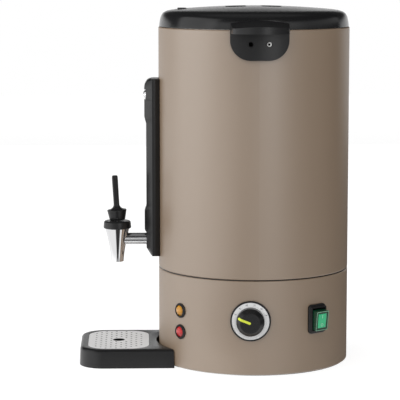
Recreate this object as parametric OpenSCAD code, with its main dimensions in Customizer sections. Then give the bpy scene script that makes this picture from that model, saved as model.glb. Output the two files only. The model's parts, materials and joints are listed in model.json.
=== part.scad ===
// Hot water urn: a double-walled vessel on a heated base, with a bayonet lid, two side
// handles, a level gauge, a lever tap and a drip tray.
// Millimetres. The origin is on the floor under the middle of the body, +Z is up, the tap
// and the drip tray are at -Y and the controls at +X.

/* [Body] */
// Outside diameter of the jacket and the base housing
body_d = 268; // [255:1:285]
// Height of the base housing
base_h = 130; // [126:1:140]
// Height of the dark seam between base housing and jacket
seam_h = 1.2; // [0.8:0.1:2.5]
// Height of the jacket above the seam
jacket_h = 338.3; // [325:0.1:360]
// Clear height under the base housing
foot_gap = 3; // [2.5:0.5:6]
// Sheet thickness of the base housing
housing_t = 1.2; // [0.8:0.1:2]
// Sheet thickness of the jacket
jacket_t = 0.8; // [0.6:0.1:1.5]
// Radius of the rolled sheet edges
edge_round = 1.6; // [1:0.1:2.5]
// Width of the turned-in hems of the jacket and of the housing's lower edge
hem_w = 10; // [8:0.5:12]
// Width of the flange at the top of the base housing
flange_w = 22; // [20:0.5:24]

/* [Floor and feet] */
// Sheet thickness of the base plate
plate_t = 1.2; // [0.8:0.1:2]
// Rise of the middle of the base plate above the lower edge of the housing
plate_rise = 5; // [4.5:0.5:8]
// Width of the base plate's rim under the housing's hem
plate_rim_w = 9; // [6:0.5:10]
// Diameter of a rubber foot
foot_d = 22; // [16:1:24]
// Distance of the middle of a foot from the outside of the body
foot_inset = 30; // [28:1:42]
// Diameter of the foot screws
foot_screw_d = 4; // [3:0.5:5]
// Diameter of the three tie rods
tie_rod_d = 5; // [4:0.5:6]

/* [Vessel] */
// Air gap between the jacket and the vessel
air_gap = 14.4; // [12:0.2:20]
// Wall thickness of the vessel
vessel_t = 0.8; // [0.6:0.1:1.2]
// Floor thickness of the vessel
vessel_floor_t = 1; // [0.8:0.1:2]
// Outside corner radius between wall and floor
vessel_corner = 2.5; // [2:0.5:11]
// Height between the seam and the vessel's floor
heater_space = 14; // [12.5:0.5:18]

/* [Heater] */
// Thickness of the aluminium heater plate
heater_plate_t = 4; // [3:0.5:6]
// Diameter of the sheathed heating element
element_d = 6.6; // [6:0.1:8.5]
// Radius of the element's ring
element_ring_r = 72; // [66:1:78]
// Diameter of the thermal cut-out
cutout_d = 16; // [12:1:20]
// Length of the thermostat's sensing bulb
bulb_len = 70; // [50:1:76]
// Diameter of the thermostat's sensing bulb
bulb_d = 6; // [5:0.5:7]
// Diameter of the capillary tube
capillary_d = 2; // [1.5:0.1:2.4]
// Diameter of the inner wires
wire_d = 2.6; // [2:0.1:3]

/* [Mouth and lid] */
// Height of the mouth ring
mouth_ring_h = 6; // [5:0.5:8]
// Step from the vessel's wall in to the mouth ring's opening
mouth_step = 6; // [5:0.5:8]
// Depth of the mouth ring's spigot in the vessel
spigot_h = 5; // [3:0.5:8]
// Radial length of a bayonet tab
tab_len = 4; // [3:0.5:5]
// Thickness of a bayonet tab
tab_t = 3; // [2:0.5:4]
// Angle that a bayonet tab spans
tab_angle = 36; // [30:1:40]
// Angle that a lug of the lid spans
lug_angle = 24; // [18:1:28]
// Height of a lug of the lid
lug_h = 3.7; // [3:0.1:5]
// Height of the lid above the jacket
lid_h = 29.2; // [28:0.1:34]
// How far the lid's edge stands back from the jacket
lid_setback = 1; // [0.8:0.1:3]
// Wall thickness of the lid
lid_wall = 2.6; // [2:0.1:3]
// Height of the lid's upright edge
lid_edge_h = 13.2; // [12.5:0.1:15]
// How far the lid's edge leans in over its height
lid_draft = 2.2; // [1:0.1:2.8]
// Radial width of the lid's rounded shoulder
shoulder_w = 23.8; // [20:0.1:28]
// Drop of the lid's crown from its middle to its shoulder
crown_drop = 4.8; // [3:0.1:6]
// Depth of the lid's plug below the jacket's top
plug_depth = 8; // [7:0.5:12]
// Wall and floor thickness of the plug
plug_t = 2; // [1.5:0.1:3]
// Height of the lid's seal
seal_h = 3; // [2:0.5:3.5]
// Width of the lid's seal
seal_w = 8; // [6:0.5:9]
// Width of the grip bar between the two finger wells
grip_bar_w = 22.5; // [18:0.5:26]
// Width of a finger well
well_w = 28; // [24:0.5:32]
// Length of a finger well
well_len = 62; // [50:1:80]
// Depth of a finger well
well_depth = 15; // [10:0.5:17]
// Corner radius of a finger well
well_round = 12; // [8:0.5:12]
// Diameter of the steam vent
vent_d = 17; // [12:0.5:20]
// Distance of the steam vent from the lid's edge
vent_inset = 32; // [30:0.5:37]

/* [Side handles] */
// Width of a side handle
handle_w = 79.4; // [72:0.1:90]
// How far the handle's plate reaches down from the jacket's top
handle_drop = 40.5; // [38:0.1:55]
// How far the handle rises above the jacket's top
handle_rise = 12.7; // [10:0.1:16]
// Radius of the plate's lower corners
handle_round = 27; // [20:0.5:32]
// Thickness of the handle's plate
handle_t = 6; // [5:0.5:8]
// How far the grip ledge reaches out from the jacket
ledge_reach = 44.5; // [38:0.5:50]
// Height of the ledge's front lip
ledge_lip_h = 9.6; // [8:0.1:12]
// Wall thickness of the ledge
ledge_wall = 3.2; // [2.5:0.1:4]
// Radius of the ledge's curved front
ledge_front_r = 71; // [62:1:90]
// Radius of the ledge's front corners
ledge_round = 9; // [6:0.5:14]
// How much narrower the ledge is at its front than at the jacket
ledge_taper = 5.6; // [3:0.1:8]
// Fall of the ledge's top from the jacket to its front
ledge_fall = 7; // [5:0.5:8]
// Rise of the ledge's top from its sides to its middle
ledge_arch = 4.9; // [3:0.1:6]
// Distance between the two screws of a handle
handle_screw_gap = 24.6; // [20:0.2:32]
// Height of the handle screws below the jacket's top
handle_screw_drop = 18.8; // [17:0.2:22]
// Diameter of the handle screws
handle_screw_d = 4; // [3:0.5:5]
// Diameter of the handle screws' heads
handle_head_d = 6.8; // [6:0.1:8]

/* [Level gauge] */
// Height of the gauge column
column_h = 250.5; // [246:0.1:258]
// Height of the column's lower end above the seam
column_lift = 15.6; // [12:0.1:18]
// Width of the gauge column
column_w = 39.2; // [36:0.2:44]
// Distance of the column's bevelled edge from the jacket
column_side = 9.4; // [8:0.1:12]
// Distance of the column's front face from the jacket
column_front = 17.7; // [17:0.1:20]
// How far the two bosses stand proud of the front face
boss_proud = 2.7; // [2.4:0.1:4]
// Wall thickness of the column
column_wall = 2.5; // [2:0.1:3]
// Width of the slot in front of the gauge tube
slot_w = 7; // [5:0.5:7.5]
// Outside diameter of the gauge tube
tube_d = 8; // [7.5:0.1:8.4]
// Wall thickness of the gauge tube
tube_wall = 1.2; // [0.8:0.1:1.8]
// Distance of the gauge tube's upper end below the column's screw
tube_drop = 15.3; // [14.5:0.1:20]
// Distance of the column's screw below the column's top
column_screw_drop = 22.6; // [20:0.2:25]
// Diameter of the column screw's domed head
column_head_d = 12.6; // [10:0.2:14]
// Height of the column screw's domed head
column_head_h = 3.9; // [2.5:0.1:4.5]
// Depth of the flat notch that the head sits in
head_notch = 2.3; // [1:0.1:2.4]
// Diameter of the column screw
column_screw_d = 5; // [4:0.5:6]

/* [Tap] */
// Height of the tap's shank above the seam
tap_lift = 38.2; // [37:0.2:42]
// Distance of the tap's axis from the jacket
tap_reach = 59; // [54:0.2:70]
// Outside diameter of the shank
shank_d = 16.7; // [15:0.1:17.5]
// Bore of the shank
shank_bore = 10; // [8:0.5:11]
// Diameter of the spout's open end
spout_d = 17.4; // [15:0.1:18]
// Length of the spout below the shank's axis
spout_len = 32.4; // [30:0.2:40]
// Diameter of the tap body's upper end
tap_top_d = 34; // [31:0.1:35]
// Height of the tap body's upper end above the shank's axis
tap_top_h = 15.2; // [14:0.2:17]
// Bore of the spout
spout_bore = 10.4; // [8:0.2:11]
// Diameter of the valve chamber
chamber_d = 19; // [18:0.2:20]
// Depth of the valve chamber below the shank's axis
chamber_drop = 7.4; // [7:0.2:8]
// Largest diameter of the black bonnet
bonnet_d = 39.3; // [36:0.1:44]
// Height of the black bonnet
bonnet_h = 10.6; // [10:0.2:14]
// Room above the seat cup when the valve is fully open
cup_room = 4.8; // [3.5:0.1:6]
// Diameter of the valve stem
stem_d = 5; // [4:0.2:6]
// Thickness of the rubber seat cup
cup_h = 7.3; // [6:0.1:8]
// Diameter of the seat cup
cup_d = 14.8; // [13:0.2:16]
// Wire diameter of the tap's spring
spring_wire = 1; // [0.8:0.1:1.2]
// Turns of the tap's spring
spring_turns = 6; // [4:1:7]
// Height of the lever's pin above the bonnet
pin_lift = 5.5; // [5.5:0.1:7]
// Diameter of the lever's pin
pin_d = 3; // [2:0.1:3]
// Diameter of the lever's foot at its lower end
lever_foot_d = 22; // [20:0.2:24]
// Diameter of the lever's foot at its upper end
lever_top_d = 28.8; // [25:0.2:30]
// Height of the lever's foot
lever_foot_h = 15; // [13:0.2:16]
// Length of the lever above its pin
lever_len = 59; // [45:1:80]
// Thickness of the lever's stick
lever_t = 8.4; // [6:0.1:9]
// Width of the lever's stick at its top
lever_w = 15; // [10:0.5:20]
// Lean of the lever at rest, in degrees
lever_lean = 3.3; // [2:0.1:3.4]
// Swing of the lever from rest, in degrees
lever_swing = 30; // [25:1:32]
// Lift of the valve stem over the full swing
stem_lift = 4.2; // [4:0.1:4.4]

/* [Drip tray] */
// Reach of the tray from the body to its front
tray_reach = 112.4; // [105:0.2:130]
// Width of the tray
tray_w = 146; // [140:1:160]
// Height of the tray
tray_h = 26.5; // [24:0.5:32]
// Radius of the tray's front corners
tray_round = 34; // [28:1:40]
// Radius of the tray's upper edge
tray_edge = 4.5; // [3:0.1:6]
// Wall thickness of the tray
tray_wall = 2.5; // [2:0.1:3]
// Depth of the shallow notch behind the tray
tray_notch = 3.5; // [2:0.1:6]
// Radius of the notch's curve
tray_notch_r = 114; // [100:1:120]
// Length of the grid, front to back
grid_l = 86; // [78:0.5:92]
// Width of the grid
grid_w = 127; // [118:0.5:130]
// Corner radius of the grid
grid_round = 28; // [22:0.5:32]
// Thickness of the grid
grid_t = 1.2; // [0.8:0.1:2]
// Distance of the grid's front edge from the tray's front
grid_inset = 11.6; // [10:0.2:14]
// Depth of the basin under the grid
basin_depth = 18; // [12:0.5:19]
// Width of the ledge that the grid rests on
grid_ledge = 4; // [3:0.5:6]
// Diameter of the grid's small holes
hole_d = 2.9; // [2:0.1:4]
// Distance between the grid's rows of holes
hole_pitch = 7.15; // [6.5:0.05:9]
// Diameter of the grid's finger hole
finger_d = 16.8; // [12:0.1:20]

/* [Controls] */
// Direction of the thermostat dial, in degrees from +X
dial_angle = -4.7; // [-8:0.1:-2]
// Height of the dial above the housing's lower edge
dial_z = 75.5; // [70:0.5:80]
// Diameter of the dial's black rim
dial_rim_d = 55.5; // [54:0.1:62]
// Diameter of the pale dial ring
dial_face_d = 51.4; // [48:0.1:52]
// How far the dial's rim stands out from the housing
dial_rim_h = 4.2; // [4:0.1:6]
// Thickness of the pale dial ring
dial_face_t = 1.2; // [0.8:0.1:1.4]
// Diameter of the knob
knob_d = 39; // [34:0.1:42]
// Diameter of the knob's flat face
knob_face_d = 31; // [26:0.1:33]
// Height of the knob
knob_h = 16.5; // [15:0.1:22]
// Width of the knob's pointer
pointer_w = 3.4; // [2.5:0.1:4.5]
// Direction of the pointer at rest, in degrees from the dial's right
pointer_angle = 159; // [140:1:165]
// Direction of the two lamps, in degrees from +X
lamp_angle = -51.7; // [-54:0.1:-49]
// Height of the upper lamp above the housing's lower edge
lamp_high_z = 81; // [76:0.1:95]
// Height of the lower lamp above the housing's lower edge
lamp_low_z = 51.2; // [44:0.1:54]
// Diameter of the lamp's bezel
lamp_d = 20.6; // [18:0.1:22]
// Diameter of the lamp's lens
lens_d = 15.2; // [13:0.1:16]
// Diameter of the lamp's body
lamp_body_d = 12; // [10:0.5:12.4]
// Length of the lamp's body behind the housing
lamp_body_len = 26; // [20:1:32]
// Direction of the switch, in degrees from +X
switch_angle = 37.2; // [34:0.1:40]
// Height of the switch's middle above the housing's lower edge
switch_z = 73.4; // [64:0.1:80]
// Width of the switch's frame
switch_w = 30; // [29:0.1:34]
// Height of the switch's frame
switch_h = 40.5; // [40:0.1:45]
// Width of the rocker
rocker_w = 22.4; // [18:0.1:23]
// Height of the rocker
rocker_h = 27; // [24:0.1:27.6]
// How far the rocker stands out from the housing
rocker_out = 12.6; // [9:0.1:13]
// Tilt of the rocker at rest, in degrees
rocker_tilt = 6.5; // [5:0.1:7]
// Direction of the cord gland, in degrees from +X
gland_angle = 130; // [122:1:150]
// Height of the cord gland above the housing's lower edge
gland_z = 30; // [24:1:40]
// Diameter of the gland's thread
gland_d = 16; // [14:0.5:18]
// Bore of the gland for the cord
gland_bore = 8; // [6:0.5:9]

/* [Clearances] */
// Gap between curved faces that are fixed to each other
seat_gap = 0.1; // [0.05:0.05:0.2]
// Gap between pieces that move past each other
move_gap = 0.6; // [0.5:0.05:0.8]
// Radial clearance of a shaft or a stem in its bore
shaft_gap = 0.05; // [0.02:0.01:0.1]
// Radial clearance of a screw in its hole
hole_gap = 0.2; // [0.1:0.05:0.4]

/* [Hidden] */
$fn = 96;

// Colours
taupe = [0.60, 0.54, 0.47];
black = [0.16, 0.16, 0.17];
steel = [0.78, 0.78, 0.78];
zinc = [0.66, 0.67, 0.70];
chrome = [0.86, 0.87, 0.88];
rubber = [0.12, 0.12, 0.12];
silicone = [0.85, 0.86, 0.84];
aluminium = [0.72, 0.73, 0.75];
brass = [0.78, 0.64, 0.34];

// Stack of heights
body_r = body_d / 2;
housing_z = foot_gap;
housing_top = housing_z + base_h;
jacket_z = housing_top + seam_h;
rim_z = jacket_z + jacket_h;
plate_low_z = foot_gap - plate_t;
plate_z = foot_gap + plate_rise;
plate_top = plate_z + plate_t;
vessel_z = jacket_z + heater_space;
heater_z = vessel_z - heater_plate_t;

// Radii of the body
flange_r = body_r - flange_w;
hem_r = body_r - hem_w;
plate_step_r = hem_r - 1.8;
plate_r = plate_step_r + plate_rim_w;
vessel_outer_r = body_r - jacket_t - air_gap;
vessel_r = vessel_outer_r - vessel_t;
tie_circle_r = flange_r - tie_rod_d / 2 - 4.5;
heater_r = tie_circle_r - tie_rod_d / 2 - 4;
tie_angles = [90, 210, 330];
foot_angles = [45, 135, 225, 315];
foot_circle_r = body_r - foot_inset;

// Heater
element_z = heater_z - element_d / 2 - seat_gap;
element_gap = 13;
element_leg = 12;
element_pin = 9;
cutout_h = 9;
cutout_blade = 7;

// Mouth and lid
mouth_z = rim_z + vessel_t;
mouth_top = mouth_z + mouth_ring_h;
mouth_r = vessel_r - mouth_step;
tab_r = mouth_r - tab_len;
lid_r = body_r - lid_setback;
vent_r = lid_r - vent_inset;
lid_z = rim_z + 0.5;
mouth_ring_r = lid_r - lid_wall - lid_draft - move_gap;
vessel_flange_r = mouth_ring_r + 1;
plug_r = tab_r - move_gap;
lug_r = mouth_r - move_gap;
lug_top = mouth_z - 0.4;
lug_turn = 2 + (tab_angle + lug_angle) / 2;
tab_angles = [25, 145, 265];
shoulder_r = lid_r - lid_draft - shoulder_w;
shoulder_h = lid_h - crown_drop - lid_edge_h;
seal_r = (mouth_r + mouth_ring_r) / 2 - 1.6;
seal_top = mouth_top + seal_h;
well_y = grip_bar_w / 2 + well_w / 2;
well_wall = 2.2;
vent_t = 2.2;

// Side handles
handle_in_r = body_r + seat_gap;
handle_out_r = body_r + handle_t;
handle_low_z = rim_z - handle_drop;
handle_top_z = rim_z + handle_rise;
ledge_front = body_r + ledge_reach;
ledge_z = handle_top_z - ledge_fall - ledge_lip_h;
arch_r = (pow(handle_w / 2, 2) + pow(ledge_arch, 2)) / (2 * ledge_arch);
handle_screw_z = rim_z - handle_screw_drop;
head_h = 2.4;
head_seat_r = body_r + 2.7;
jacket_nut_h = 4;
screw_end_r = body_r - 8;
// Nuts on flat seats behind the curved jacket, at the handle screws' offset from its middle.
head_nut_r = sqrt(pow(body_r - jacket_t, 2) - pow(handle_screw_gap / 2 + 5, 2))
  - jacket_nut_h - 0.1;

// Level gauge
column_z = jacket_z + column_lift;
column_top = column_z + column_h;
column_side_r = body_r + column_side;
column_front_r = body_r + column_front;
boss_r = column_front_r + boss_proud;
tap_z = jacket_z + tap_lift;
low_boss_z = tap_z + shank_d / 2 + 1.5;
low_boss_h = 31;
high_boss_z = column_top - 63;
slot_z = low_boss_z + low_boss_h + 12;
slot_top = high_boss_z - 4;
tube_r = body_r + 7.5;
tube_z = tap_z + 18;
seat_wall = 1.6;
seat_h = 8;
manifold_w = 22;
column_screw_z = column_top - column_screw_drop;
tube_top = column_screw_z - tube_drop;

// Tap
tap_r = body_r + tap_reach;
tap_top = tap_z + tap_top_h;
spout_z = tap_z - spout_len;
tap_flare = 1.5;
chamber_z = tap_z - chamber_drop;
chamber_r = chamber_d / 2;
shank_r = shank_d / 2;
shank_tip = tap_r - chamber_r - seat_gap;
nut_h = 6;
seal_ring_t = 2;
inner_seal_r = vessel_r - 0.7;
bonnet_z = tap_top + seat_gap;
bonnet_top = bonnet_z + bonnet_h;
bonnet_plug_r = chamber_r - seat_gap;
pocket_r = bonnet_plug_r - 2.8;
pocket_top = bonnet_top - 5.4;
cup_z = chamber_z + seat_gap;
cup_top = cup_z + cup_h;
stem_flange_h = 1.8;
bonnet_plug_z = cup_top + stem_lift + cup_room;
spring_z = cup_top + stem_flange_h + seat_gap;
pin_z = bonnet_top + pin_lift;
lever_foot_z = 4.5;
lever_stick_w = 11;
stem_over = 3.4;
// The lever's slot clears the stem at the lever's full tilt.
lever_tilt = lever_lean + lever_swing;
slot_front = (stem_d / 2 + lever_foot_z * sin(lever_tilt)) / cos(lever_tilt) + 0.4;
slot_back = stem_d / 2 * cos(lever_tilt) + stem_over * sin(lever_tilt) + 0.4;

// Drip tray
tray_front = body_r + tray_reach;
tray_back_r = body_r + move_gap;
grid_mid = tray_front - grid_inset - grid_l / 2;
grid_z = tray_h - 0.3 - grid_t;
basin_z = grid_z - basin_depth;
basin_l = grid_l - 2 * grid_ledge;
basin_w = grid_w - 2 * grid_ledge;
basin_round = grid_round - grid_ledge;

// Controls
dial_height = housing_z + dial_z;
dial_seat_r = body_r + dial_rim_h - dial_face_t - 0.8;
knob_seat_r = dial_seat_r + dial_face_t + 0.3;
knob_mid_h = knob_h - 5;
thermostat_w = 36;
thermostat_h = 40;
thermostat_l = 26;
thermostat_gap = 7;
thermostat_back_r = body_r - housing_t - thermostat_gap - thermostat_l;
shaft_end_r = thermostat_back_r + thermostat_l - 5.5;
blade_len = 6;
bush_d = 10;
bush_out = 3.2;
spindle_d = 6;
spindle_len = 11;
groove_depth = 1.2;
pointer_proud = 0.3;
pointer_start = 0.8;
lamp_out = 1.6;
lens_out = 5.4;
switch_height = housing_z + switch_z;
frame_out = 3;
collar_out = 6;
switch_wall = 1.8;
switch_depth = 22;
rocker_pivot = body_r - 3;
rocker_pin_d = 3;
gland_height = housing_z + gland_z;

// Points on an arc about c with radius r from angle a0 to a1, in n steps.
function arc(c, r, a0, a1, n = 6) =
  [for (i = [0 : n]) c + r * [cos(a0 + (a1 - a0) * i / n), sin(a0 + (a1 - a0) * i / n)]];

// Points of a w by h rectangle with corner radius r, centred.
function round_rect(w, h, r, n = 6) = concat(
  arc([w / 2 - r, h / 2 - r], r, 0, 90, n),
  arc([r - w / 2, h / 2 - r], r, 90, 180, n),
  arc([r - w / 2, r - h / 2], r, 180, 270, n),
  arc([w / 2 - r, r - h / 2], r, 270, 360, n));

function reversed(points) = [for (i = [len(points) - 1 : -1 : 0]) points[i]];

// Places children on the body: local x runs along the wall, y is up, z points outwards.
module facing(angle, z) {
  rotate([0, 0, angle]) rotate([90, 0, 90]) translate([0, z, 0]) children();
}

// Turns children so that local +X points to the front of the urn.
module front() {
  rotate([0, 0, -90]) children();
}

module ring(outer, inner, h) {
  difference() {
    cylinder(r = outer, h = h);
    translate([0, 0, -1]) cylinder(r = inner, h = h + 2);
  }
}

module hex(flats, h) {
  cylinder(d = flats / cos(30), h = h, $fn = 6);
}

// Space of the body's outside, taken from pieces that sit on the curved wall.
module body_space() {
  cylinder(r = body_r + seat_gap, h = rim_z + 60, $fn = 360);
}

// ---- Body and base ----

module base_housing() {
  wall_in = body_r - housing_t;
  color(taupe) difference() {
    rotate_extrude() polygon(concat(
      [[hem_r, housing_z]],
      arc([body_r - edge_round, housing_z + edge_round], edge_round, -90, 0),
      arc([body_r - edge_round, housing_top - edge_round], edge_round, 0, 90),
      [[flange_r, housing_top], [flange_r, housing_top - housing_t],
       [wall_in, housing_top - housing_t], [wall_in, housing_z + housing_t],
       [hem_r, housing_z + housing_t]]));
    facing(dial_angle, dial_height) translate([0, 0, wall_in - 10])
      cylinder(d = bush_d + 2 * hole_gap, h = 20);
    for (z = [lamp_high_z, lamp_low_z])
      facing(lamp_angle, housing_z + z) translate([0, 0, wall_in - 10])
        cylinder(d = lamp_body_d + 2 * hole_gap, h = 20);
    facing(switch_angle, switch_height) translate([0, 0, wall_in - 10])
      linear_extrude(20) square([switch_body_w() + 2 * hole_gap,
                                 switch_body_h() + 2 * hole_gap], center = true);
    facing(gland_angle, gland_height) translate([0, 0, wall_in - 10])
      cylinder(d = gland_d + 2 * hole_gap, h = 20);
  }
}

module base_plate() {
  color(zinc) difference() {
    rotate_extrude() polygon([
      [0, plate_z], [plate_step_r - plate_t, plate_z], [plate_step_r - plate_t, plate_low_z],
      [plate_r, plate_low_z], [plate_r, foot_gap], [plate_step_r, foot_gap],
      [plate_step_r, plate_top], [0, plate_top]]);
    for (a = foot_angles)
      rotate([0, 0, a]) translate([foot_circle_r, 0, plate_z - 1])
        cylinder(d = foot_screw_d + 2 * hole_gap, h = plate_t + 2);
    for (a = tie_angles)
      rotate([0, 0, a]) translate([tie_circle_r, 0, plate_z - 1])
        cylinder(d = tie_rod_d + 2 * hole_gap, h = plate_t + 2);
    for (x = [-24 : 12 : 24])
      translate([x, -30, plate_z - 1]) cylinder(d = 5, h = plate_t + 2);
  }
}

module rubber_feet() {
  color(rubber) for (a = foot_angles)
    rotate([0, 0, a]) translate([foot_circle_r, 0, 0]) difference() {
      cylinder(d1 = foot_d - 2, d2 = foot_d, h = plate_z, $fn = 48);
      translate([0, 0, -1]) cylinder(d = foot_screw_d + 2 * hole_gap, h = plate_z + 2);
      translate([0, 0, -1]) cylinder(d = 2 * foot_screw_d + 1, h = plate_z / 2 + 1);
    }
}

module foot_screws() {
  color(steel) for (a = foot_angles)
    rotate([0, 0, a]) translate([foot_circle_r, 0, 0]) {
      translate([0, 0, plate_z / 2 - 2]) cylinder(d = 2 * foot_screw_d, h = 2);
      translate([0, 0, plate_z / 2 - 1]) cylinder(d = foot_screw_d, h = plate_z / 2 + 5);
      translate([0, 0, plate_top]) hex(1.75 * foot_screw_d, 3);
    }
}

module tie_rods() {
  color(steel) for (a = tie_angles)
    rotate([0, 0, a]) translate([tie_circle_r, 0, plate_z - tie_rod_d])
      cylinder(d = tie_rod_d, h = vessel_z - plate_z + tie_rod_d);
}

module tie_nuts() {
  nut_t = 0.8 * tie_rod_d;
  color(steel) for (a = tie_angles, z = [plate_z - nut_t, plate_top])
    rotate([0, 0, a]) translate([tie_circle_r, 0, z]) difference() {
      hex(1.6 * tie_rod_d, nut_t);
      translate([0, 0, -1]) cylinder(r = tie_rod_d / 2 + shaft_gap, h = nut_t + 2);
    }
}

module joining_ring() {
  lip_t = 1.4;
  color(black) rotate_extrude() polygon([
    [flange_r + 1, housing_top], [body_r - 0.8, housing_top], [body_r - 0.8, jacket_z],
    [hem_r - seat_gap, jacket_z], [hem_r - seat_gap, jacket_z + 4],
    [hem_r - seat_gap - lip_t, jacket_z + 4], [hem_r - seat_gap - lip_t, jacket_z],
    [flange_r + 1, jacket_z]]);
}

module outer_jacket() {
  wall_in = body_r - jacket_t;
  color(taupe) difference() {
    rotate_extrude() polygon(concat(
      [[hem_r, jacket_z]],
      arc([body_r - edge_round, jacket_z + edge_round], edge_round, -90, 0),
      arc([body_r - edge_round, rim_z - edge_round], edge_round, 0, 90),
      [[hem_r, rim_z], [hem_r, rim_z - jacket_t], [wall_in, rim_z - jacket_t],
       [wall_in, jacket_z + jacket_t], [hem_r, jacket_z + jacket_t]]));
    facing(-90, tap_z) translate([0, 0, wall_in - 10])
      cylinder(r = shank_r + 4, h = 20);
    facing(-90, column_screw_z) translate([0, 0, wall_in - 10])
      cylinder(d = column_screw_d + 2 * hole_gap, h = 20);
    for (a = [0, 180], side = [-1, 1])
      facing(a, handle_screw_z) translate([side * handle_screw_gap / 2, 0, wall_in - 10])
        cylinder(d = handle_screw_d + 2 * hole_gap, h = 20);
  }
}

// Nuts behind the jacket: two for each handle and one for the gauge column.
module jacket_nuts() {
  nut_r = body_r - jacket_t - jacket_nut_h - 0.2;
  color(zinc) {
    for (a = [0, 180], side = [-1, 1])
      facing(a, handle_screw_z) translate([side * handle_screw_gap / 2, 0, head_nut_r])
        difference() {
          hex(1.75 * handle_screw_d, jacket_nut_h);
          translate([0, 0, -1]) cylinder(r = handle_screw_d / 2 + shaft_gap, h = 10);
        }
    facing(-90, column_screw_z) translate([0, 0, nut_r]) difference() {
      hex(1.6 * column_screw_d, jacket_nut_h);
      translate([0, 0, -1]) cylinder(r = column_screw_d / 2 + shaft_gap, h = 10);
    }
  }
}

module inner_vessel() {
  inner_corner = vessel_corner - vessel_t;
  floor_in = vessel_z + vessel_floor_t;
  color(steel) difference() {
    rotate_extrude() polygon(concat(
      [[0, vessel_z]],
      arc([vessel_outer_r - vessel_corner, vessel_z + vessel_corner], vessel_corner, -90, 0),
      [[vessel_outer_r, rim_z], [vessel_flange_r, rim_z], [vessel_flange_r, mouth_z],
       [vessel_r, mouth_z]],
      arc([vessel_r - inner_corner, floor_in + inner_corner], inner_corner, 0, -90),
      [[0, floor_in]]));
    facing(-90, tap_z) translate([0, 0, vessel_r - 10])
      cylinder(r = shank_r + hole_gap, h = 20);
  }
}

module mouth_ring() {
  spigot_out = vessel_r - 0.3;
  color(black) {
    rotate_extrude() polygon([
      [mouth_r, mouth_z], [spigot_out - 2, mouth_z], [spigot_out - 2, mouth_z - spigot_h],
      [spigot_out, mouth_z - spigot_h], [spigot_out, mouth_z], [mouth_ring_r, mouth_z],
      [mouth_ring_r, mouth_top], [mouth_r, mouth_top]]);
    for (a = tab_angles)
      rotate([0, 0, a - tab_angle / 2]) rotate_extrude(angle = tab_angle)
        translate([tab_r, mouth_z]) square([tab_len + 1, tab_t]);
  }
}

// ---- Heater and electrics ----

module heater_plate() {
  color(aluminium) translate([0, 0, heater_z]) cylinder(r = heater_r, h = heater_plate_t);
}

// Nearly a full ring under the heater plate, with an upright ferrule at each end and a
// thinner terminal pin below it.
module heating_element() {
  color(zinc) {
    translate([0, 0, element_z]) rotate([0, 0, element_gap])
      rotate_extrude(angle = 360 - 2 * element_gap)
        translate([element_ring_r, 0]) circle(d = element_d);
    for (a = [element_gap, -element_gap])
      rotate([0, 0, a]) translate([element_ring_r, 0, element_z - element_leg]) {
        cylinder(d = element_d + 0.8, h = element_leg + element_d / 2);
        translate([0, 0, -element_pin]) cylinder(d = element_d / 2, h = element_pin + 1);
      }
  }
}

module thermal_cutout() {
  low = heater_z - cutout_h;
  color(black) translate([0, 0, low]) cylinder(d = cutout_d, h = cutout_h);
  color(zinc) difference() {
    translate([-cutout_d * 1.2, -5, heater_z - 1]) cube([cutout_d * 2.4, 10, 1]);
    translate([0, 0, low]) cylinder(d = cutout_d - 1, h = cutout_h);
  }
  color(brass) for (side = [-1, 1])
    translate([side * cutout_d / 4 - 0.4, -3.2, low - cutout_blade])
      cube([0.8, 6.4, cutout_blade + 0.5]);
}

module thermostat_body() {
  front_r = thermostat_back_r + thermostat_l;
  color(black) facing(dial_angle, dial_height) difference() {
    union() {
      translate([-thermostat_w / 2, -thermostat_h / 2, thermostat_back_r])
        cube([thermostat_w, thermostat_h, thermostat_l]);
      translate([0, 0, front_r - 1]) cylinder(d = bush_d + 6, h = thermostat_gap + 0.7);
      translate([0, 0, front_r - 1])
        cylinder(d = bush_d, h = 1 + thermostat_gap + housing_t + bush_out);
    }
    translate([0, 0, front_r - 6]) cylinder(r = spindle_d / 2 + shaft_gap, h = 30);
  }
  color(brass) facing(dial_angle, dial_height) for (x = [-8, 8])
    translate([x - 0.4, -2.4, thermostat_back_r - blade_len]) cube([0.8, 4.8, blade_len]);
}

module thermostat_shaft() {
  color(zinc) facing(dial_angle, dial_height)
    translate([0, 0, shaft_end_r])
      cylinder(d = spindle_d, h = knob_seat_r + spindle_len - shaft_end_r);
}

module thermostat_nut() {
  color(steel) facing(dial_angle, dial_height) translate([0, 0, body_r + seat_gap])
    difference() {
      hex(14, bush_out - 0.7);
      translate([0, 0, -1]) cylinder(r = bush_d / 2 + shaft_gap, h = bush_out + 2);
    }
}

// Unit vectors and a swept tube: a ring of sides points round each route point, in the
// plane that halves the bend there.
function unit(v) = v / norm(v);
function heading(p, i) =
  unit((i < len(p) - 1 ? unit(p[i + 1] - p[i]) : [0, 0, 0])
       + (i > 0 ? unit(p[i] - p[i - 1]) : [0, 0, 0]));
function side_of(t) = unit(cross(t, abs(t[2]) < 0.9 ? [0, 0, 1] : [1, 0, 0]));
// Carries the first ring's side along the route, so that the tube doesn't twist.
function carried(p, i) =
  i == 0 ? side_of(heading(p, 0))
         : let (t = heading(p, i), s = carried(p, i - 1)) unit(s - (s * t) * t);

module tube(p, d, sides = 8) {
  points = [for (i = [0 : len(p) - 1])
    let (t = heading(p, i), u = carried(p, i), v = cross(t, u))
      for (k = [0 : sides - 1])
        p[i] + d / 2 * (cos(360 * k / sides) * u + sin(360 * k / sides) * v)];
  last = (len(p) - 1) * sides;
  faces = concat(
    [[for (k = [0 : sides - 1]) k]],
    [[for (k = [sides - 1 : -1 : 0]) last + k]],
    [for (i = [0 : len(p) - 2], k = [0 : sides - 1])
      let (a = i * sides + k, b = i * sides + (k + 1) % sides)
        [a, a + sides, b + sides, b]]);
  polyhedron(points, faces, convexity = 6);
}

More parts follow.
